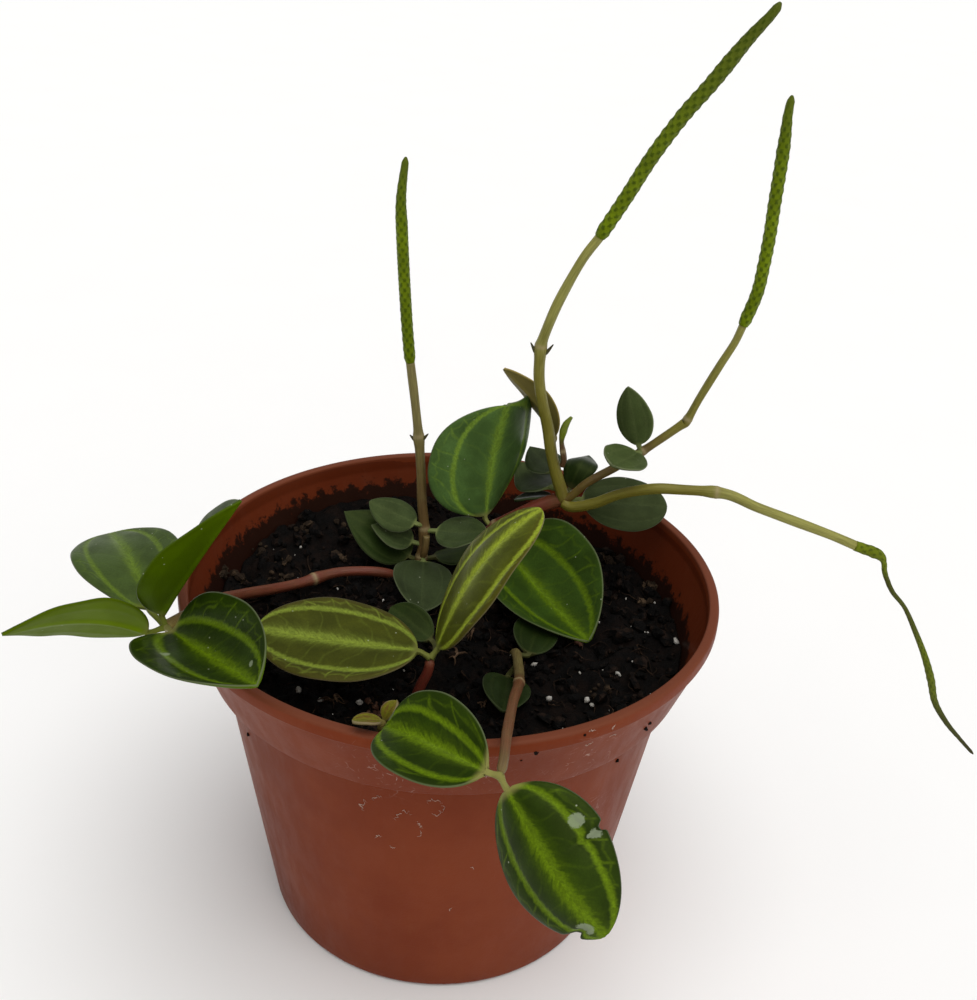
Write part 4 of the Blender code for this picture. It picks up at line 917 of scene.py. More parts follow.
# %% Spike shapes
LEFT_SPIKE = [(-11.6, 24, 127.5), (-12.5, 24, 136.3), (-13.4, 24, 147.5), (-14.1, 24, 158),
              (-14.4, 24, 165), (-13.6, 24, 173.6)]
TALL_SPIKE = [(28.2, 20, 160), (32.9, 19, 169.2), (37, 18, 177.7), (42.1, 17, 186.4), (46.7, 16, 193),
              (52.2, 15, 201.4), (56, 14, 206.6), (57.5, 14, 209)]
RIGHT_SPIKE = [(62.9, 25, 140), (64.8, 25, 147.4), (65.3, 25, 154), (65.5, 25, 161), (65.4, 25, 168),
               (65.4, 25, 175), (65.3, 25, 181.5), (65.1, 25, 186.4), (65.3, 25, 190.2)]
WITHERED_SPIKE = [(93, 8, 94), (99.1, 7, 92), (101.1, 7, 87.3), (103.3, 6, 83.3), (107.3, 6, 78.8),
                  (111.5, 6, 71.8), (115.2, 6, 65), (118.2, 6, 58.3), (120.7, 6, 51.7), (124.4, 5, 46.4),
                  (129.1, 5, 41.3), (133.6, 5, 36.7)]
WITHERED_RADII = [(0, 1.2), (0.07, 1.35), (0.115, 0.65), (0.3, 0.5), (0.5, 0.75), (0.62, 0.95), (0.75, 0.75),
                  (0.9, 0.5), (1, 0.4)]
KNOB_STEP = 1.15                # half the distance between knobs in one row
KNOB_COLUMNS = 5
KNOB_RELIEF = 0.055
SPIKE_SIDES = 56
SPIKE_STEP = 0.2
SPIKE_END = 1.2                 # millimetres over which each end of a spike is drawn in


def knobs(length, angle, drift):
    """Height of the knobs from -1 to 1: cosine along times cosine round, with a slow seeded drift so that
    the rows aren't perfectly even."""
    slow = 0.5 * np.sin(length[:, None] / 7.1 + drift + 2 * np.sin(angle))
    around = KNOB_COLUMNS * angle + 0.5 * np.sin(length[:, None] / 5.3 + drift)
    return np.cos(np.pi * length[:, None] / KNOB_STEP + slow) * np.cos(around)


def spike_finish(name, net, knob, dry_colour, gloss):
    """Bright flesh with darker knobs, duller where it has dried."""
    material, tree = new_finish(name, gloss, 0.18, WAXY)
    solid = object_mm(tree)
    grain = noise(solid, 2.6, 3.0, 0.6)
    ground = mixed(fade(noise(solid, 0.12, 3.0), 0.35, 0.65), net, toned(net, 0.72))
    ground = mixed(attribute(tree, "dry"), ground, dry_colour)
    ragged = attribute(tree, "knob") + (grain - 0.5) * 2.2
    colour = mixed(fade(ragged, -0.2, 0.9, 0.0, 0.78), ground, knob)
    return finished(material, colour, fade(grain, 0.3, 0.7, gloss - 0.05, gloss + 0.12), grain, 0.16)


spike_skin = spike_finish("spike_knobbly", (0.13, 0.185, 0.002), (0.026, 0.046, 0.0), (0.066, 0.082, 0.008), 0.45)
dry_skin = spike_finish("spike_withered", (0.15, 0.19, 0.008), (0.035, 0.05, 0.004), (0.036, 0.03, 0.016), 0.6)


# %% Spikes
def build_spike(node, route, radius, bare, material, slot, dryness, drift, radii=None):
    """A flower spike: knobs on a bar whose last stretch thins to a bare tip.

    bare is the share of the spike that the tip takes, and radii gives pairs of share and radius in its
    place. The knobs fade out over the last eighth. dryness gives pairs of share along the spike and how
    far it has dried there.
    """
    path = smooth_path(route, SPIKE_STEP)
    length = travelled(path)
    share = length / length[-1]
    angle = round_angles(SPIKE_SIDES)
    height = knobs(length, angle, drift)
    if radii:
        taper = np.interp(share, *zip(*radii))
        height = height * 0.8
    else:
        taper = radius * np.where(share > 1 - bare, 1 - 0.45 * (share - 1 + bare) / bare, 1.0)
        taper = taper * (0.8 + 0.2 * np.clip(length / SPIKE_END, 0, 1))
    taper = taper * np.sqrt(np.clip((length[-1] - length) / SPIKE_END, 0, 1) * 0.92 + 0.08)
    fading = np.clip((1 - share) / 0.12, 0, 1)[:, None] * np.clip(length / 1.5, 0, 1)[:, None]
    reach = taper[:, None] * (1 + KNOB_RELIEF * np.sign(height) * np.abs(height) ** 0.8 * fading)
    offsets = reach[..., None] * on_circle(angle)
    dry = np.interp(share, *zip(*dryness))[:, None] * np.ones(SPIKE_SIDES)
    ringed(node + "_knobbed", path, offsets, {"knob": height * fading, "dry": dry}, material, slot, node)


build_spike("left_spike", LEFT_SPIKE, 1.3, 0.3, spike_skin, "spike_green", [(0.72, 0), (1, 0.93)], 0.4)
build_spike("tall_spike", TALL_SPIKE, 1.5, 0.25, spike_skin, "spike_green", [(0.1, 0), (1, 0.98)], 1.9)
build_spike("right_spike", RIGHT_SPIKE, 1.4, 0.22, spike_skin, "spike_green", [(0.8, 0), (1, 0.91)], 3.1)
build_spike("withered_spike", WITHERED_SPIKE, 1.0, 0.2, dry_skin, "spike_dry", [(0.13, 0), (0.18, 0.75),
            (0.42, 0.6), (0.52, 0.15), (0.66, 0.3), (0.78, 0.8), (1, 1)], 5.0, WITHERED_RADII)
print("spike knobs per turn:", KNOB_COLUMNS)

# %% [markdown]
# # The young growth
# A new shoot is a stem that swells into a bud, and the sprout at the rim is a thin stem under its two
# leaves. Both are made by the stem's own helper, with other radii and colours.

# %% Young shoot and rim sprout
bud_skin = stem_finish("shoot_bud", (0.11, 0.05, 0.025), (0.10, 0.09, 0.02), (0.15, 0.2, 0.012), 0.35)
path = smooth_path(SHOOT, 0.25)
radius = np.interp(travelled(path) / travelled(path)[-1], *zip(*SHOOT_RADII))
rings = stem_rings(path, radius, [3.6], [(0, 0.0), (0.45, 0.15), (0.6, 0.95), (1, 1.0)], 0.12)
ringed("young_shoot_bud", path, *rings, bud_skin, "bud_green", "young_shoot")
build_stem("rim_sprout_stalk", SPROUT, 0.75, 0.7, [12], [(0, 0.6), (1, 1.0)], brown_bark, "sprout_yellow",
           "rim_sprout")


# %% [markdown]
# # The pot
# A nursery pot is moulded thin in one piece, with a rim band that stands out and a rounded lip. Screw
# or Spin would turn a profile, and so does a line of numpy: each profile point becomes a ring. Corners
# are rounded first by short arcs, because a real mould has no sharp edge. The drain holes are cut by
# a Boolean, the one step where a grid would be clumsier.

# %% Pot shape
POT_SEGMENTS = 240
FLOOR = 1.6                     # thickness of the pot's floor
BASE_RADIUS = 41.3
BODY_TOP_RADIUS = 51.8
BAND_BOTTOM, BAND_BOTTOM_RADIUS = 70.0, 54.7
BAND_TOP, BAND_TOP_RADIUS = 84.0, 59.7
LIP_TOP, LIP_RADIUS, LIP_INNER_RADIUS = 87.0, 60.3, 58.1
LEDGE_HEIGHT, LEDGE_RADIUS = 71.6, 53.4     # the step inside, behind the foot of the rim band
THROAT_HEIGHT, THROAT_RADIUS = 83.5, LIP_INNER_RADIUS - 0.3
DRAIN_HOLES, DRAIN_RADIUS, DRAIN_CIRCLE = 6, 3.5, 28.0
AXIS_HOLE = 0.3                 # radius of the innermost ring round the axis
BODY_RADIUS = 52                # where distances round the pot are measured
PROFILE_STEP = 2.5              # longest stretch between two rings
# radius, height and rounding of each corner, down the outside and back up the inside
POT_OUTSIDE = [(LIP_INNER_RADIUS, LIP_TOP, 0.5), (LIP_RADIUS, LIP_TOP, 0.8), (LIP_RADIUS, BAND_TOP + 0.1, 0.4),
               (BAND_TOP_RADIUS - 0.1, BAND_TOP - 0.3, 0.3), (BAND_BOTTOM_RADIUS, BAND_BOTTOM, 0.5),
               (BODY_TOP_RADIUS, BAND_BOTTOM - 0.3, 0.5), (BASE_RADIUS, 0.0, 1.3)]
POT_INSIDE = [(BASE_RADIUS - 2.0, FLOOR, 1.2), (50.4, 69.8, 0.4), (LEDGE_RADIUS, LEDGE_HEIGHT - 0.2, 0.4),
              (THROAT_RADIUS, THROAT_HEIGHT, 0.5)]


def rounded(corners, steps=5):
    """Points along a profile with each corner replaced by a short arc.

    A quadratic Bezier curve joins the points one rounding before and after the corner.
    """
    spots = np.array([corner[:2] for corner in corners], dtype=float)
    t = np.linspace(0, 1, steps)[:, None]
    line = []
    for before, spot, after, corner in zip(np.roll(spots, 1, axis=0), spots, np.roll(spots, -1, axis=0), corners):
        start = spot + unit(before - spot) * corner[2]
        end = spot + unit(after - spot) * corner[2]
        line.append((1 - t) ** 2 * start + 2 * (1 - t) * t * spot + t ** 2 * end)
    return line


def filled(line, step):
    """The same profile with no stretch longer than a step."""
    points = []
    for start, end in zip(line, line[1:]):
        count = max(1, math.ceil(np.linalg.norm(end - start) / step))
        points.append(start + (end - start) * (np.arange(count) / count)[:, None])
    return np.vstack(points + [line[-1:]])


def pot_lines():
    """The profile down the outside to the axis, and from the axis up the inside."""
    arcs = rounded(POT_OUTSIDE + POT_INSIDE)
    outside, inside = np.vstack(arcs[:len(POT_OUTSIDE)]), np.vstack(arcs[len(POT_OUTSIDE):])
    outside[-1] = (BASE_RADIUS - 2.4, 0.0)
    inside[0] = (BASE_RADIUS - 3.4, FLOOR)
    return filled(outside, PROFILE_STEP), filled(inside, PROFILE_STEP)


def drill(target, cutters):
    """Cut the cutters from the target and remove them."""
    group = bpy.data.collections.new("cutters")
    for item in cutters:
        group.objects.link(item)
    change = target.modifiers.new("drain", "BOOLEAN")
    change.operand_type = "COLLECTION"
    change.collection = group
    change.operation = "DIFFERENCE"
    change.solver = "EXACT"
    depsgraph = bpy.context.evaluated_depsgraph_get()
    result = bpy.data.meshes.new_from_object(target.evaluated_get(depsgraph))
    target.modifiers.clear()
    target.data = result
    for item in cutters:
        bpy.data.objects.remove(item, do_unlink=True)
    bpy.data.collections.remove(group)


def drain_cutter(x, y):
    """A round bar through the pot's floor."""
    count = 32
    ring = (x, y) + DRAIN_RADIUS * on_circle(round_angles(count))
    mesh = bpy.data.meshes.new("drain")
    points = np.vstack([np.insert(ring, 2, height, axis=1) for height in (-2, 4)]) * MM
    faces = [(i, (i + 1) % count, (i + 1) % count + count, i + count) for i in range(count)]
    mesh.from_pydata(points.tolist(), [], faces + [tuple(range(count))[::-1], tuple(range(count, 2 * count))])
    item = bpy.data.objects.new("drain", mesh)
    bpy.context.scene.collection.objects.link(item)
    return item


# %% [markdown]
# The plastic is satin terracotta, dulled by handling. Broad clouds vary its colour, and where the pot
# was knocked, thin white scratches run in all directions. Their place is stored on the mesh as a soft
# patch, and within it the thin edges of large warped cells make the lines.

# %% Pot finish
SCUFFS = [(-84, 78, 5), (-60, 76, 6), (-50, 50, 5), (-100, 76, 7), (30, 40, 8), (100, 55, 9),
          (170, 60, 8)]         # angle in degrees, height, size
POT_MAP = 400.0                 # millimetres across the pot's flat map
DIRT_AND_SHADE_TOP, DIRT_AND_SHADE_FADE, DIRT_AND_SHADE_CLIMB = 80, 7, 5      # where the dirt and painted shade inside end, how softly, and their rise at the back


def scratch_lines(tree):
    """Thin broken lines at the edges of two sizes of warped cells, within the scuffed patches."""
    flat = stretched(flat_place(tree), (POT_MAP, POT_MAP, 0.0))
    lines = None
    for scale, warp, shift in ((0.16, 9.0, 3.0), (0.3, 5.0, 20.0)):
        bend = noise(flat, 0.09 + scale / 4, 2.0) * warp
        bend = Field(place(tree, "ShaderNodeCombineXYZ", {0: bend, 1: shift}).outputs[0])
        cell = place(tree, "ShaderNodeTexVoronoi", {"Vector": flat.sum("ADD", bend, "ShaderNodeVectorMath"),
                     "Scale": scale}, voronoi_dimensions="2D", feature="DISTANCE_TO_EDGE")
        thin = fade(Field(cell.outputs["Distance"]), 0.0, 0.022)
        lines = lines.most(thin) if lines else thin
    return lines * fade(noise(flat, 0.5, 3.0), 0.5, 0.62, 0.0, 1.0) * attribute(tree, "scuff")


def pot_finish():
    """Terracotta plastic with clouds, dust, scratches, and an inside darkened by dirt and painted shade."""
    material, tree = new_finish("pot_terracotta", 0.42, 0.09, (1.0, 0.7, 0.55, 1.0))
    solid, dirt_and_shade = object_mm(tree), attribute(tree, "dirt_and_shade")
    cloud = noise(solid, 0.035, 4.0, 0.6)
    colour = mixed(fade(cloud, 0.35, 0.65), (0.172, 0.033, 0.0095), (0.145, 0.024, 0.006))
    dust = noise(stretched(solid, (1.0, 1.0, 0.35)), 0.22, 5.0, 0.7)
    colour = mixed(fade(dust, 0.5, 0.75, 0.0, 0.14), colour, (0.21, 0.08, 0.045))
    colour = mixed(fade(attribute(tree, "wear"), 0.3, 1.0, 0.0, 0.7), colour, (0.135, 0.045, 0.025))
    lines = scratch_lines(tree)
    colour = mixed(lines * 0.75, colour, (0.55, 0.42, 0.36))
    # painted shade: the inside is darkened towards the soil, by dirt and by the shade under the rim, with near-black
    # spots
    dirt_and_shade_mask = dirt_and_shade.sum("GREATER_THAN", 0.01)
    spots = dirt_and_shade + (noise(solid, 0.42, 4.0, 0.7) - 0.5) * 1.6
    colour = mixed(dirt_and_shade_mask * 0.45, colour, (0.05, 0.009, 0.004))
    colour = mixed(dirt_and_shade_mask * fade(spots, 0.45, 0.7, 0.0, 0.9), colour, (0.006, 0.004, 0.003))
    rough = fade(dust, 0.3, 0.75, 0.38, 0.55) + lines * 0.25
    return finished(material, colour, rough, noise(solid, 1.8, 3.0, 0.6) * 0.4 + lines, 0.08)


# %% The moulded pot
def apart(around, at):
    """Degrees from one direction round the pot to another."""
    return (around - at + 180) % 360 - 180


def pot_values(around, level, inner):
    """How scuffed, worn and darkened the pot is at each point, the inside by dirt and painted shade.

    Scuffs are soft round patches on the outside, wear follows the lip and the foot of the band, and the
    dirt with painted shade fades upwards from the soil, higher at the back left where the soil climbs the wall.
    """
    scuff = 0.0 * level
    for at, up, size in SCUFFS:
        away = np.hypot(np.radians(apart(around, at)) * BODY_RADIUS, level - up) / size
        scuff = np.maximum(scuff, np.exp(-away ** 2))
    wear = np.exp(-((level - LIP_TOP) / 0.8) ** 2) + 0.4 * np.exp(-((level - BAND_BOTTOM) / 0.8) ** 2) * ~inner
    climb = DIRT_AND_SHADE_CLIMB * np.exp(-(apart(around, 130) / 60) ** 2)
    dirt_and_shade = inner * np.clip((DIRT_AND_SHADE_TOP + climb - level) / DIRT_AND_SHADE_FADE, 0.02, 1)
    values = {"scuff": scuff * ~inner, "wear": np.clip(wear, 0, 1), "dirt_and_shade": dirt_and_shade}
    return {label: np.concatenate([numbers, [0, 0]]) for label, numbers in values.items()}


def build_pot():
    """Turn the profile, close both faces of the floor round the axis, and drill the drain holes."""
    outside, inside = pot_lines()
    line = np.vstack([outside, [(AXIS_HOLE, 0.0)], [(AXIS_HOLE, FLOOR)], inside])
    count, rows = POT_SEGMENTS, len(line)
    angle = round_angles(count) + np.pi / 2
    radius, height = line[:, :1], line[:, 1:]
    points = np.stack([radius * np.cos(angle), radius * np.sin(angle), height + 0 * angle], axis=-1)
    row, here = np.arange(rows)[:, None], np.arange(count)[None, :]
    below, following = (row + 1) % rows * count, (here + 1) % count
    quads = np.stack([row * count + here, below + here, below + following, row * count + following], axis=-1)
    faces = quads[np.arange(rows) != len(outside)].reshape(-1, 4).tolist()
    low, high = rows * count, rows * count + 1
    under, over = len(outside) * count, (len(outside) + 1) * count
    faces += [(under + i, low, under + (i + 1) % count) for i in range(count)]
    faces += [(over + i, over + (i + 1) % count, high) for i in range(count)]
    points = np.vstack([points.reshape(-1, 3), (0, 0, 0), (0, 0, FLOOR)])
    around = np.tile(np.degrees(angle) - 360 * (np.degrees(angle) > 180), rows)
    level = np.repeat(line[:, 1], count)
    values = pot_values(around, level, np.repeat(np.arange(rows) > len(outside), count))
    flat = np.stack([np.radians(around) * BODY_RADIUS, level], axis=-1) / POT_MAP + 0.5
    flat = np.vstack([flat, (0.5, 0.5), (0.5, 0.5)])
    pot = make_piece("pot_moulded", points, faces, pot_finish(), values, flat)
    angles = [2 * math.pi * hole / DRAIN_HOLES for hole in range(DRAIN_HOLES)]
    drill(pot, [drain_cutter(DRAIN_CIRCLE * math.cos(turn), DRAIN_CIRCLE * math.sin(turn)) for turn in angles])
    pot.data.shade_smooth()
    pot.data.set_sharp_from_angle(angle=math.radians(50))
    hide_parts("pot")
    print("pot faces:", len(pot.data.polygons))


build_pot()

# %% [markdown]
# Some marks are too distinct for a seeded pattern: white scratches that curl where something scraped
# the wall, and dark flecks of soil under the rim. Each scratch is a hair-thin tube laid along an arc on
# the pot's outside, and each fleck is a small ball pressed into it.

# %% Marks on the pot
SCRATCHES = [(-91.3, 64, 1.6, 20, 150), (-91, 61.8, 1.0, 200, 200), (-90.4, 63, 1.3, 300, 120),
             (-97.6, 58.4, 2.6, 60, 130), (-95.7, 55, 1.4, 290, 100), (-96.4, 56.6, 2.0, 0, 60),
             (-103.8, 62.4, 1.8, 70, 100), (-105.9, 59.8, 2.6, 120, 90), (-104.4, 50.8, 1.1, 60, 120),
             (-101.1, 49.8, 0.8, 200, 130), (-62.4, 85.6, 0.9, 30, 100), (-56.8, 85, 0.8, 100, 90),
             (-62, 83, 1.2, 240, 90), (-56.1, 81.2, 0.8, 10, 140), (-85.2, 85.4, 1.1, 80, 70),
             (-82.9, 79.2, 0.7, 150, 160), (-92.2, 80.1, 1.3, 20, 60), (-85.5, 29.2, 0.7, 90, 120),
             (-81.7, 43, 0.9, 10, 80), (-99, 77, 0.8, 20, 130)]   # angle, height, radius, start, sweep
SCRATCH_RADIUS = 0.085
WALL_RADIUS = 55                # of the pot where the marks lie, about
FLECKS = [(-31.9, 65.8, 0.45), (-63.8, 85.9, 0.35), (-73.3, 84.1, 0.4), (-43.8, 64.1, 0.5), (-75.4, 81.5, 0.3),
          (-146.3, 60.9, 0.5), (-44.6, 76.9, 0.8), (-44, 78.2, 0.4), (-72.6, 83.4, 0.3)]


def on_pot(angle, height, out=0.0):
    """Points just outside the pot's wall: the body below the band's step, the band, or the lip."""
    body = BASE_RADIUS + (BODY_TOP_RADIUS - BASE_RADIUS) * height / (BAND_BOTTOM - 0.3)
    band_share = (height - BAND_BOTTOM) / (BAND_TOP - BAND_BOTTOM)
    band = BAND_BOTTOM_RADIUS + (BAND_TOP_RADIUS - BAND_BOTTOM_RADIUS) * band_share
    radius = np.where(height < BAND_BOTTOM, body, np.where(height > BAND_TOP, LIP_RADIUS, band)) + out
    return np.stack([radius * np.cos(angle), radius * np.sin(angle), height], axis=-1)


def scratch_tubes():
    """Four-sided tubes along every arc of SCRATCHES, thinning to both ends."""
    at, up, size, start, sweep = (column[:, None] for column in np.array(SCRATCHES, dtype=float).T)
    t = np.linspace(0, 1, 14)[None, :]
    turn = np.radians(start + sweep * t)
    draw = np.random.default_rng(31)
    uneven = size * (1 + 0.25 * draw.uniform(-1, 1, turn.shape))
    around = np.radians(at) + uneven * np.cos(turn) / WALL_RADIUS
    height = up + uneven * np.sin(turn)
    thick = SCRATCH_RADIUS * (0.25 + np.sin(np.pi * t)) * draw.uniform(0.5, 1.3, turn.shape)
    return joined_tubes(np.stack([on_pot(around, height, thick), on_pot(around, height + thick),
                                  on_pot(around, height, -thick), on_pot(around, height - thick)], axis=2))


def mark_finish(name, colour, rough):
    """A plain matt mark, a little uneven."""
    material, tree = new_finish(name, rough, 0.1)
    cloud = noise(object_mm(tree), 1.5, 3.0, 0.6)
    return finished(material, mixed(fade(cloud, 0.35, 0.65), toned(colour, 0.5), colour), None, cloud, 0.1)


scratches = make_piece("pot_scratches", *scratch_tubes(), mark_finish("scratch_white", (0.62, 0.5, 0.42), 0.7))
print("scratches:", len(SCRATCHES))

# %% [markdown]
# # The soil
# Moist peat is nearly black, with crumbs of every size, brown fibres and a few white grains, and many tiny
# pale grains that are partly white grains and partly painted glints on the moist soil. A noise texture alone
# would stay flat at its outline, so the bed is a real relief: the broad shape of the plain solid, plus
# octaves of value noise. Crumbs, fibres and grains are small closed shapes strewn over it with a seeded
# draw, each with only a few dozen faces.

# %% Soil shape
SOIL_LEVEL = 72.6
SOIL_LUMPS, SOIL_SWELL = 14, 0.2475     # waves that make the broad lumps, and the height of each
SOIL_BANK, BANK_ANGLE, BANK_SPREAD = 5.0, 128.0, 38     # the bank's height, and its place in degrees
BANK_RADIUS = 55                # where the bank has its full height
SOIL_EDGE = 53                  # about where the bed meets the wall
SOIL_RINGS, SOIL_SEGMENTS = 112, 420
GAP = 0.3                       # between the soil and the pot
SOIL_WALL = [(BASE_RADIUS - 2.9, FLOOR + GAP), (BASE_RADIUS - 1.5, 3.1), (50.1, 69.0), (50.2, 70.9),
             (53.0, 72.0)]      # radius and height, up the soil's side


def soil_height(x, y):
    """Broad height of the soil: a level bed, a bank against the back left wall, and seeded round lumps."""
    draw = np.random.default_rng(7)
    reach = np.hypot(x, y) / BANK_RADIUS
    angle = np.degrees(np.arctan2(y, x))
    bank = SOIL_BANK * np.exp(-((angle - BANK_ANGLE) / BANK_SPREAD) ** 2) * np.clip((reach - 0.72) / 0.28, 0, 1)
    height = SOIL_LEVEL + bank
    for _ in range(SOIL_LUMPS):
        heading, size, phase = draw.uniform(0, 2 * np.pi), draw.uniform(5, 14), draw.uniform(0, 2 * np.pi)
        along = x * np.cos(heading) + y * np.sin(heading)
        height = height + SOIL_SWELL * np.sin(2 * np.pi * along / size + phase)
    return height


def value_noise(x, y, size, seed):
    """Smooth noise from -1 to 1: a seeded number at each corner of a square net, eased between them."""
    corner = np.random.default_rng(seed).uniform(-1, 1, (160, 160))
    column, row = np.asarray(x) / size + 80, np.asarray(y) / size + 80
    i, j = np.floor(column).astype(int) % 159, np.floor(row).astype(int) % 159
    a, b = column - np.floor(column), row - np.floor(row)
    a, b = a * a * (3 - 2 * a), b * b * (3 - 2 * b)
    return ((corner[i, j] * (1 - a) + corner[i + 1, j] * a) * (1 - b)
            + (corner[i, j + 1] * (1 - a) + corner[i + 1, j + 1] * a) * b)


def crumbly_height(x, y):
    """The broad height with crumbs: four octaves of noise, the coarse ones folded into clods."""
    fine = 0.0
    for size, reach, seed in ((5.0, 1.0, 1), (2.6, 0.8, 2), (1.4, 0.5, 3), (0.9, 0.3, 4)):
        fine = fine + reach * (0.45 - np.abs(value_noise(x, y, size, seed)))
    return soil_height(x, y) + fine


def pot_inner_radius(height):
    """Inside radius of the pot at a height above the ledge under the rim band."""
    share = (height - LEDGE_HEIGHT) / (THROAT_HEIGHT - LEDGE_HEIGHT)
    return LEDGE_RADIUS + (THROAT_RADIUS - LEDGE_RADIUS) * share


# %% Soil bed
def soil_finish():
    """Black peat with browner crumbs and moist glints."""
    material, tree = new_finish("soil_peat", 0.8, 0.07)
    solid = object_mm(tree)
    coarse, fine = noise(solid, 0.25, 5.0, 0.65), noise(solid, 1.9, 4.0, 0.7)
    colour = mixed(fade(coarse, 0.4, 0.7, 0.0, 1.0), (0.0022, 0.0018, 0.0016), (0.0075, 0.004, 0.0027))
    colour = mixed(fade(fine, 0.6, 0.8, 0.0, 0.5), colour, (0.03, 0.016, 0.01))
    return finished(material, colour, fade(fine, 0.35, 0.7, 0.55, 0.95), fine, 0.5)


def build_soil():
    """Rings of the crumbly bed from the wall to the middle, with the soil's side below them."""
    angle = round_angles(SOIL_SEGMENTS)
    cosine, sine = np.cos(angle), np.sin(angle)
    edge = np.maximum(soil_height(SOIL_EDGE * cosine, SOIL_EDGE * sine), SOIL_LEVEL - 0.2)
    share = np.linspace(1, 0, SOIL_RINGS, endpoint=False)[:, None]
    radius = (pot_inner_radius(edge) - GAP)[None, :] * share
    bed = np.stack([radius * cosine, radius * sine, crumbly_height(radius * cosine, radius * sine)], axis=-1)
    bed[0, :, 2] = edge
    walls = np.array([np.stack([r * cosine, r * sine, 0 * cosine + height], axis=-1) for r, height in SOIL_WALL])
    rows = np.concatenate([bed[::-1], walls[::-1]])
    points = np.vstack([rows.reshape(-1, 3), (0, 0, bed[-1, :, 2].mean()), (0, 0, FLOOR + GAP)])
    soil = make_piece("soil_bed", points, ring_faces(len(rows), SOIL_SEGMENTS), soil_finish())
    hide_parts("soil")
    print("soil bed faces:", len(soil.data.polygons))


build_soil()


# %% Loose shapes
def ball_shape():
    """A small ball of 24 faces: the points of a cube with three points to each edge, made round."""
    every = np.array(list(np.ndindex(3, 3, 3))) - 1
    points = every[np.abs(every).max(axis=1) == 1]
    number = {tuple(point): k for k, point in enumerate(points.tolist())}
    faces = []
    for axis, side, a, b in np.ndindex(3, 2, 2, 2):
        square = ((a - 1, b - 1), (a, b - 1), (a, b), (a - 1, b))
        faces.append([number[(*spot[:axis], 2 * side - 1, *spot[axis:])] for spot in square])
    return points / np.linalg.norm(points, axis=1)[:, None], np.array(faces)


BALL, BALL_FACES = ball_shape()


def rough_balls(size, draw):
    """Balls of the given sizes, each with its own seeded squash, roughness and spin."""
    count = len(size)
    squash = draw.uniform(0.55, 1.25, (count, 1, 3))
    rough = draw.uniform(0.72, 1.2, (count, len(BALL), 1))
    spin = np.linalg.qr(draw.normal(size=(count, 3, 3)))[0]
    return (BALL[None] * squash * rough) @ spin * size[:, None, None]


def gathered(spots, count, spread, draw):
    """Places scattered within a spread of the given spots."""
    chosen = np.array(spots, dtype=float)[np.arange(count) % len(spots)]
    return (chosen + draw.normal(scale=spread, size=(count, 2))).T


def strewn(count, smallest, largest, seed, reach, sink, power=2.5, spots=(), spread=0.0):
    """Rough balls strewn over the bed, or gathered at the given spots, each sunk by a share of its size."""
    draw = np.random.default_rng(seed)
    away = reach * np.sqrt(draw.uniform(0, 1, count))
    turn = draw.uniform(0, 2 * np.pi, count)
    size = smallest + (largest - smallest) * draw.uniform(0, 1, count) ** power
    x, y = away * np.cos(turn), away * np.sin(turn)
    if spots:
        x, y = gathered(spots, count, spread, draw)
    centre = np.stack([x, y, crumbly_height(x, y) + size * (0.5 - sink)], axis=-1)
    return joined(rough_balls(size, draw) + centre[:, None], BALL_FACES)


def flecks_on_pot():
    """A rough ball at every place of FLECKS."""
    at, up, sizes = np.array(FLECKS).T
    balls = np.concatenate([rough_balls(np.array([size]), np.random.default_rng(int(size * 100))) for size in sizes])
    return joined(balls - balls.mean(axis=1, keepdims=True) + on_pot(np.radians(at), up)[:, None], BALL_FACES)


def strands(count, seed, longest, thick, spots=()):
    """Short curled fibres lying on the bed, each a four-sided tube along a seeded arc."""
    draw = np.random.default_rng(seed)
    t = np.linspace(-1, 1, 8)[None, :]
    away = 51 * np.sqrt(draw.uniform(0, 1, (count, 1)))
    around, heading, bend = (draw.uniform(low, high, (count, 1)) for low, high in
                             ((0, 2 * np.pi), (0, 2 * np.pi), (-1.2, 1.2)))
    half = draw.uniform(1.2, longest / 2, (count, 1))
    course = heading + bend * t
    x, y = away * np.cos(around), away * np.sin(around)
    if spots:
        x, y = gathered(spots, count, 0.8, draw)[..., None]
    x, y = x + half * t * np.cos(course), y + half * t * np.sin(course)
    inside = np.minimum(1, 52.5 / np.maximum(np.hypot(x, y), 1))
    x, y = x * inside, y * inside
    lift = draw.uniform(0.1, 1.3, (count, 1)) * (1 - t ** 2) + draw.uniform(-0.1, 0.5, (count, 1))
    path = np.stack([x, y, crumbly_height(x, y) + 0.25 + lift], axis=-1)
    radius = thick * draw.uniform(0.5, 1.0, (count, 1)) * (1 - 0.75 * t ** 2)
    sideways = np.stack([-np.sin(course), np.cos(course), 0 * course], axis=-1) * radius[..., None]
    upright = np.array([0, 0, 1.0]) * radius[..., None]
    return joined_tubes(np.stack([path + sideways, path + upright, path - sideways, path - upright], axis=2))


# %% Crumbs, grains and fibres
WHITE_GRAINS = [(52.5, -3), (25, -19), (19, -16), (22, -27), (29, -18), (38, -16), (30, -27), (31, -29),
                (-26, -31), (-31, -30), (-18, -31)]
HUSKS = [(-14, -33), (-13, -34.5), (-15.5, -33.5), (29, -8)]
CLODS = [(-39, 15), (-41, 14), (-28, 24), (-52, 12), (50, 21), (48.5, 19), (-42, 21), (-47, 23), (-28, 37),
         (-38, 33), (-36, 36), (46, 12), (33, -24), (-45, 5), (40, 30)]
TWIGS = [(-23, -32), (5, -6), (2, -13), (7, -31)]


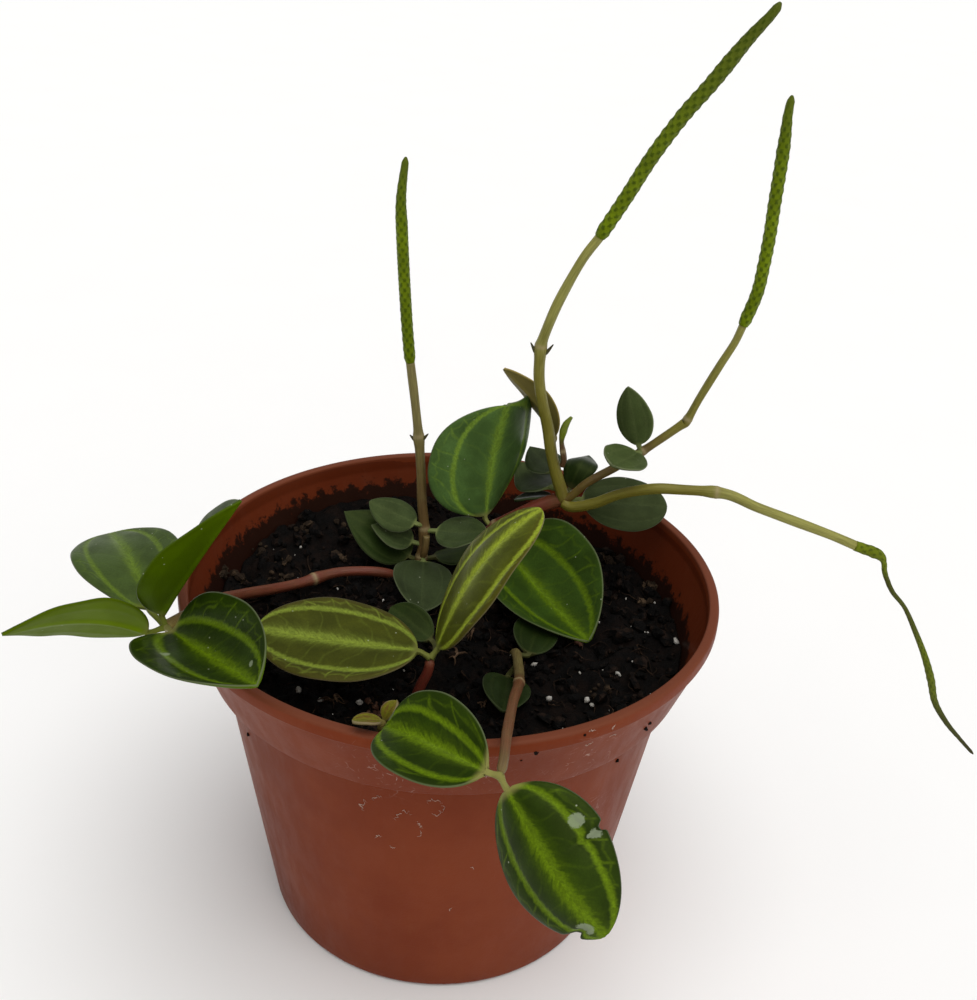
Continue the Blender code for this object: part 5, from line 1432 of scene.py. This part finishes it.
def crumb_finish(name, dark, light, rough):
    """Crumbs that vary from one to the next by broad noise."""
    material, tree = new_finish("soil_" + name, rough, 0.08)
    solid = object_mm(tree)
    fine = noise(solid, 3.0, 3.0, 0.6)
    colour = mixed(fade(noise(solid, 0.45, 3.0), 0.48, 0.68, 0.0, 1.0), dark, light)
    colour = mixed(fade(fine, 0.4, 0.7, 0.0, 0.5), colour, toned(dark, 0.4))
    return finished(material, colour, fade(fine, 0.3, 0.7, rough - 0.1, min(1.0, rough + 0.1)), fine, 0.25)


def lay(name, shapes, material, smooth=True):
    """Put loose shapes on the soil as one piece."""
    piece = make_piece(name, *shapes, material, smooth=smooth)
    print(name, "faces:", len(piece.data.polygons))


crumb_skin = crumb_finish("crumb", (0.0024, 0.002, 0.0018), (0.017, 0.0095, 0.0062), 0.8)
grain_and_glint_skin = crumb_finish("white_grain", (0.4, 0.38, 0.34), (0.6, 0.58, 0.54), 0.7)
clod_skin = crumb_finish("clod", (0.02, 0.013, 0.008), (0.085, 0.055, 0.032), 0.8)
husk_skin = crumb_finish("husk", (0.05, 0.022, 0.013), (0.14, 0.075, 0.045), 0.7)
fibre_skin = crumb_finish("fibre", (0.014, 0.008, 0.005), (0.06, 0.034, 0.02), 0.75)
twig_skin = crumb_finish("twig", (0.06, 0.035, 0.02), (0.16, 0.1, 0.06), 0.7)
lay("soil_crumbs", strewn(1500, 0.45, 2.1, 11, 53.5, 0.15), crumb_skin, smooth=False)
# painted glints: these tiny pale grains stand both for white grains in the peat and for glints on the moist soil
lay("soil_white_grains_and_glints", strewn(110, 0.13, 0.42, 12, 52, -0.45, 2.0), grain_and_glint_skin)
lay("soil_large_grains", strewn(len(WHITE_GRAINS), 0.5, 0.85, 13, 51, -0.4, 1.0, WHITE_GRAINS, 0.2), grain_and_glint_skin)
lay("soil_clods", strewn(120, 0.35, 1.4, 15, 51, -0.3, 1.6, CLODS, 1.1), clod_skin, smooth=False)
lay("soil_husks", strewn(60, 0.3, 0.8, 14, 51, -0.6, 1.5, HUSKS, 0.9), husk_skin)
lay("pot_soil_flecks", flecks_on_pot(), crumb_skin)
lay("soil_fibres", strands(300, 21, 8, 0.2), fibre_skin)
lay("soil_twigs", strands(14, 22, 5, 0.45, TWIGS), twig_skin)
